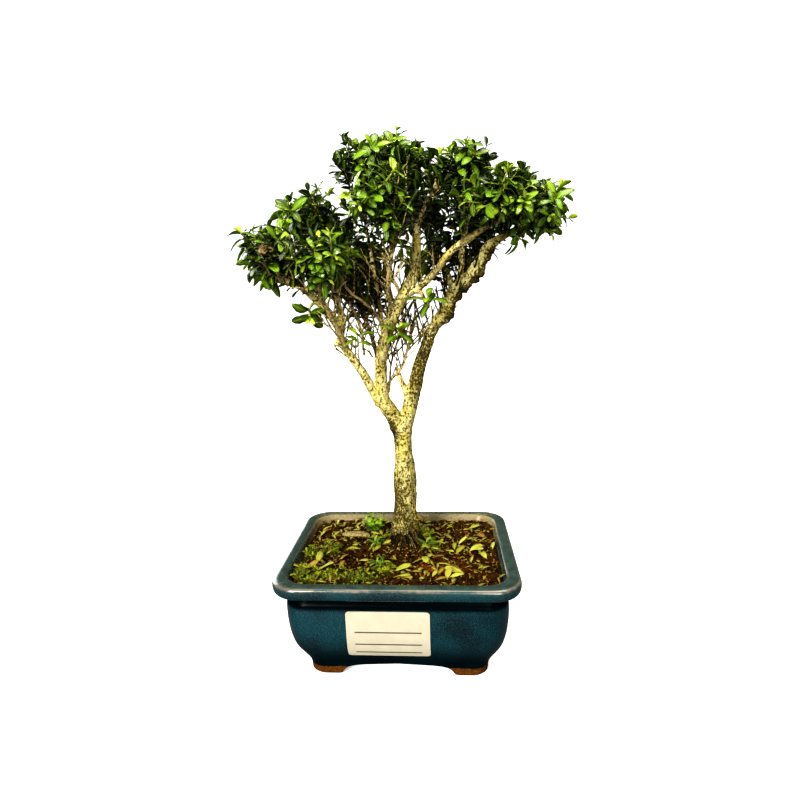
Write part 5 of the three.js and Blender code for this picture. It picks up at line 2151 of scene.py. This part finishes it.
@dataclass
class Crown:
    """The leafy sprays: one piece for each spray of the frame."""

    sprays: list[Spray]
    shortest: float = 9.5
    longest: float = 14.0
    slenderness: float = 0.46
    pair_youth: tuple[float, ...] = (0.5, 0.26, 0.13, 0.06, 0.03)
    # For each pair on a side shoot from the tip down: its share of the way, lean, length and youth.
    side_pairs: Table = (
        (1.0, 0.55, 5.0, 0.9), (0.78, 0.95, 8.5, 0.42), (0.5, 1.2, 10.0, 0.15), (0.22, 1.35, 9.0, 0.06),
    )
    withered: Triple = (-68.5, -38.0, 261.5)

    def pair(self, spray: Spray, whorl: int, node: Array, axis: Array) -> list[tuple]:
        """The two leaves of one pair on the main shoot, where the frame has them.

        Args:
            spray: the spray.
            whorl: the pair's number from the tip down.
            node: where the pair grows.
            axis: the shoot's direction there.

        Returns:
            A row for each leaf.
        """
        turn = whorl * math.pi / 2 + spray.key + 0.5 * chance(spray.key, whorl, 3)
        lean, grown = (0.75, 0.85) if whorl == 0 else (1.1, 1.0)
        rows = []
        for half in (0, 1):
            draws = [chance(spray.key, whorl, half, salt) for salt in range(8)]
            angle = turn + half * math.pi + 0.5 * (draws[1] - 0.5)
            heading = leaning(axis, angle, lean + 0.35 * draws[2])
            face = square_to(heading, axis + 0.6 * UP)
            length = grown * (self.shortest + (self.longest - self.shortest) * draws[4])
            tone = (0.25 + 0.75 * draws[7]) * (0.4 + 0.6 * spray.freshness)
            youth = self.pair_youth[whorl] * (0.4 + 0.8 * draws[5]) * spray.freshness
            rows.append((node, heading, face, length, length * self.slenderness, 0.36 + 0.3 * draws[6],
                         tone, youth))
        return rows

    def side_rows(self, spray: Spray, path: SmoothPath, branch: int) -> tuple[list[tuple], Array]:
        """A side shoot with its pairs of smaller leaves.

        It leaves the main shoot or the twig under it at a slant, turned by the golden angle from
        the one before. Its tip is drawn in where it would leave the head's ellipsoid or hang low.

        Args:
            spray: the spray.
            path: the main shoot with the end of the twig below it.
            branch: number of the side shoot.

        Returns:
            A row for each leaf, and six points along the side shoot.
        """
        draws = [chance(spray.key, 50 + branch, salt) for salt in range(2)]
        foot, axis = path.spot(0.02 + 0.72 * (branch + draws[0]) / spray.side_shoots)
        turn = spray.key + branch * GOLDEN_ANGLE
        heading = unit(0.55 * axis + 0.8 * spoke(axis, turn) + 0.12 * UP)
        offset = (foot + heading * (8 + 8 * draws[1]) - spray.centre) / spray.reach
        tip = spray.centre + offset / max(np.linalg.norm(offset), 1.0) * spray.reach
        if not spray.alone:
            tip[2] = max(tip[2], spray.centre[2] - 0.6 * spray.reach[2])
        shoot = SmoothPath(bent_path(foot, heading, tip, 0.4))
        rows = []
        for whorl, (share, lean, longest, young) in enumerate(self.side_pairs):
            node, line = shoot.spot(share)
            for half in (0, 1):
                keys = (spray.key, branch, whorl, half)
                draws = [chance(*keys, salt) for salt in range(10)]
                angle = whorl * math.pi / 2 + turn + half * math.pi + 0.7 * (draws[0] - 0.5)
                leaf_heading = leaning(line, angle, lean + 0.4 * (draws[1] - 0.5))
                face = square_to(leaf_heading, line + 0.7 * UP)
                length = longest * (0.75 + 0.5 * draws[2])
                rows.append((node, leaf_heading, face, length, length * (0.42 + 0.14 * draws[4]),
                             0.35 + 0.35 * draws[5], 0.2 + 0.8 * draws[9], young * (0.3 + 0.8 * draws[3])))
        return rows, shoot.at(np.linspace(0, 1, 6))

    def spray_skin(self, spray: Spray) -> Skin:
        """One spray: the main shoot with its pairs, a bud, side shoots and leaves on the twig.

        Args:
            spray: the spray.

        Returns:
            The surface.
        """
        points = spray.shoot()
        main = SmoothPath(points)
        rows: list[tuple] = []
        for whorl in range(spray.pairs):
            rows += self.pair(spray, whorl, *main.spot(0.95 - 0.16 * whorl))
        tip, axis = main.spot(1.0)
        for half in (0, 1):
            heading = unit(axis + 0.45 * square_to(axis, compass(spray.key + half * math.pi, 0.2)))
            rows.append((tip, heading, square_to(heading, axis + UP), 6.0, 2.4, 0.2, 0.9, 1.0))
        below = SmoothPath(spray.carrier()).at(np.linspace(0.72 if spray.leads else 0.5, 0.98, 3))
        whole = SmoothPath(np.vstack([below, points]))
        sides = [self.side_rows(spray, whole, branch) for branch in range(spray.side_shoots)]
        rows += [row for more, _ in sides for row in more]
        skins = [
            Blades.of(rows).skin(),
            path_tube(points, np.array([0.95, 0.8, 0.5]), 1.6, 8).marked(stem=0.9, tone=0.4, youth=0.3),
        ]
        if sides:
            slim = np.tile(np.linspace(0.6, 0.35, 6), (len(sides), 1))
            shoots = np.array([path for _, path in sides])
            skins.append(tubes(shoots, slim, 6).marked(stem=1, tone=0.4, youth=0.5))
        return joined(skins)

    def withered_skin(self) -> Skin:
        """A handful of dead leaves, crumpled into a ball, caught among the left head's leaves.

        Returns:
            The surface.
        """
        rows = []
        for i in range(9):
            draws = [chance(i, salt) for salt in range(201, 206)]
            heading = unit(compass(i * GOLDEN_ANGLE, 3.0 * draws[0] - 1.5))
            foot = np.array(self.withered) - 3.0 * heading
            face = square_to(heading, np.array([draws[1] - 0.5, -1.0, draws[2]]))
            rows.append((foot, heading, face, 7.0, 4.2, 0.75, draws[3], 0.1 * draws[4]))
        return Blades.of(rows).skin()

    def build(self, leaf: Material, dead: Material) -> None:
        """Builds and dresses every spray, and the dead leaves caught in one.

        Args:
            leaf: finish of the sprays.
            dead: finish of the dead leaves.
        """
        for number, spray in enumerate(self.sprays):
            name = f"spray_{number + 1:02d}"
            add_skin(name + "_leaves", self.spray_skin(spray), leaf, Slot.LEAF, name)
        add_skin("withered_leaves", self.withered_skin(), dead, Slot.FALLEN)


# ---- the studio
def placed_matrix(right: Array, up: Array, back: Array, place: Array) -> Matrix:
    """The matrix of a camera or light, from its three directions and its place in metres.

    Args:
        right: direction.
        up: direction.
        back: direction.
        place: in metres.

    Returns:
        The matrix.
    """
    matrix = np.eye(4)
    matrix[:3] = columns(right, up, back, place)
    return Matrix(matrix.tolist())


@dataclass(frozen=True)
class Viewpoint:
    """The camera: where it stands in the pot's frame, how it is turned, and its lens."""

    place: Triple = (29.33, -363.94, 232.11)
    left: float = 4.232
    down: float = 10.123
    roll: float = -1.598
    lens: float = 25.76
    sensor: float = 36.0

    def matrix(self) -> Matrix:
        """The camera's place and axes: right, up and back, after the turn, the tilt and the roll.

        Returns:
            The matrix.
        """
        turn, tilt, roll = (math.radians(a) for a in (self.left, self.down, self.roll))
        right = compass(turn)
        ahead = math.cos(tilt) * compass(turn + math.pi / 2) - math.sin(tilt) * UP
        up = np.cross(right, ahead)
        across = math.cos(roll) * right + math.sin(roll) * up
        above = -math.sin(roll) * right + math.cos(roll) * up
        return placed_matrix(across, above, -ahead, np.array(self.place) * MM + POT_ORIGIN)

    def build(self) -> None:
        """Adds the camera and makes it the scene's."""
        data = bpy.data.cameras.new("viewpoint")
        data.lens, data.sensor_width, data.clip_start = self.lens, self.sensor, 0.01
        camera = add_object("viewpoint", data)
        camera.matrix_world = self.matrix()
        bpy.context.scene.camera = camera


@dataclass(frozen=True)
class SoftLight:
    """A far soft light: the direction that it comes from, how wide it looks and its strength."""

    name: str
    place: Triple
    degrees: float
    strength: float

    def build(self) -> None:
        """Adds the light."""
        data = bpy.data.lights.new(self.name, "SUN")
        data.angle, data.energy = math.radians(self.degrees), self.strength
        back = unit(np.array(self.place))
        right = square_to(back, np.array([1.0, 0.1, 0.0]))
        light = add_object(self.name, data)
        light.matrix_world = placed_matrix(right, np.cross(back, right), back, self.place)


@dataclass(frozen=True)
class Studio:
    """The pale floor, the white surroundings and the soft lights."""

    floor_half: float = 4.0
    floor_drop: float = 0.05
    # What the floor throws on the part, and what is seen of it.
    floor_glow: Colour = (0.07, 0.07, 0.07)
    floor_colour: Colour = (0.9, 0.9, 0.9)
    sky: float = 0.1
    lights: tuple[SoftLight, ...] = (
        SoftLight("key", (-0.42, -0.88, 0.46), 20.0, 4.1),
        SoftLight("fill", (0.3, -0.95, 0.2), 30.0, 1.5),
        SoftLight("top", (0.2, 0.0, 1.1), 45.0, 2.5),
        SoftLight("back", (-0.7, 0.75, 0.3), 40.0, 1.3),
    )

    def build(self, groups: Groups) -> None:
        """Adds the floor, the world and the lights.

        Args:
            groups: the shared node groups.
        """
        half = self.floor_half / MM
        corners = np.array([[-half, -half, 0], [half, -half, 0], [half, half, 0], [-half, half, 0]])
        mesh = mesh_from("floor", Skin(corners - self.floor_drop * UP, np.array([[0, 1, 2, 3]])))
        sheet = Finish("pale_floor", groups)
        seen = sheet.run("LightPath", {}, "Is Camera Ray")
        sheet.set(Base_Color=sheet.blend(seen, self.floor_glow, self.floor_colour), Roughness=0.7)
        sheet.set(Emission_Color=(1.0, 1.0, 1.0, 1.0), Emission_Strength=sheet.times(seen, 0.35))
        mesh.materials.append(sheet.material)
        add_object("floor", mesh)
        world = bpy.data.worlds.new("white_room")
        world.use_nodes = True
        room = Sheet(world.node_tree)
        background = world.node_tree.nodes["Background"].inputs
        background["Color"].default_value = (1, 1, 1, 1)
        seen = room.run("LightPath", {}, "Is Camera Ray")
        room.feed(background["Strength"], room.spread(seen, 0, 1, self.sky, 1.05))
        scene = bpy.context.scene
        scene.world = world
        scene.view_settings.view_transform = "Standard"
        scene.view_settings.look = "High Contrast"
        for light in self.lights:
            light.build()


def main() -> None:
    """Builds every part of the bonsai in order, and then the studio."""
    logging.basicConfig(level=logging.INFO, format="%(name)s %(message)s")
    groups = Groups()
    bark = Bark().material(groups)
    leaf = Foliage().material(groups)
    green = Foliage(
        "weed_leaf", (0.025, 0.06, 0.003), (0.095, 0.19, 0.008), (0.25, 0.36, 0.02), (0.2, 0.26, 0.03),
        0.5, 0.0,
    )
    dry = Foliage(
        "dry_leaf", (0.25, 0.1, 0.015), (0.27, 0.26, 0.02), (0.43, 0.43, 0.06), (0.3, 0.2, 0.08), 0.55, 0.0
    )
    moss = Foliage(
        "moss", (0.025, 0.035, 0.003), (0.11, 0.13, 0.01), (0.36, 0.38, 0.02), (0.1, 0.1, 0.02), 0.8, 0.0
    )
    dead = PlainGrain("withered_leaf", (0.06, 0.03, 0.008), (0.33, 0.22, 0.085), 1.2, 0.8, 0.5)
    plastic = PlainGrain("black_plastic", (0.012, 0.013, 0.015), (0.03, 0.03, 0.032), 4, 0.5, 0.05)
    chip = PlainGrain("dry_bark_chip", (0.42, 0.33, 0.13), (0.1, 0.08, 0.02), 1.8, 0.9, 0.4)

    pot = GlazedPot()
    pot.build(Glaze().material(groups))
    label = Label(pot)
    label.build(LabelPaper().material(groups, label.left, label.right))
    DrainScreens(pot).build(plastic.material(groups))
    soil = PottingSoil(pot)
    soil.build(Earth().material(groups), moss.material(groups))
    Litter(soil).build(dry.material(groups), chip.material(groups))
    Weed(soil).build(green.material(groups))

    sprays = lay_out_sprays()
    wood = TreeWood(sprays)
    wood.build_trunk(bark)
    wood.build_twigs(bark)
    InnerTwigs(wood).build(bark, leaf)
    RootSkirt(soil).build(bark)
    Crown(sprays).build(leaf, dead.material(groups))

    Studio().build(groups)
    Viewpoint().build()
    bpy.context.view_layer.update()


if __name__ == "__main__":
    main()
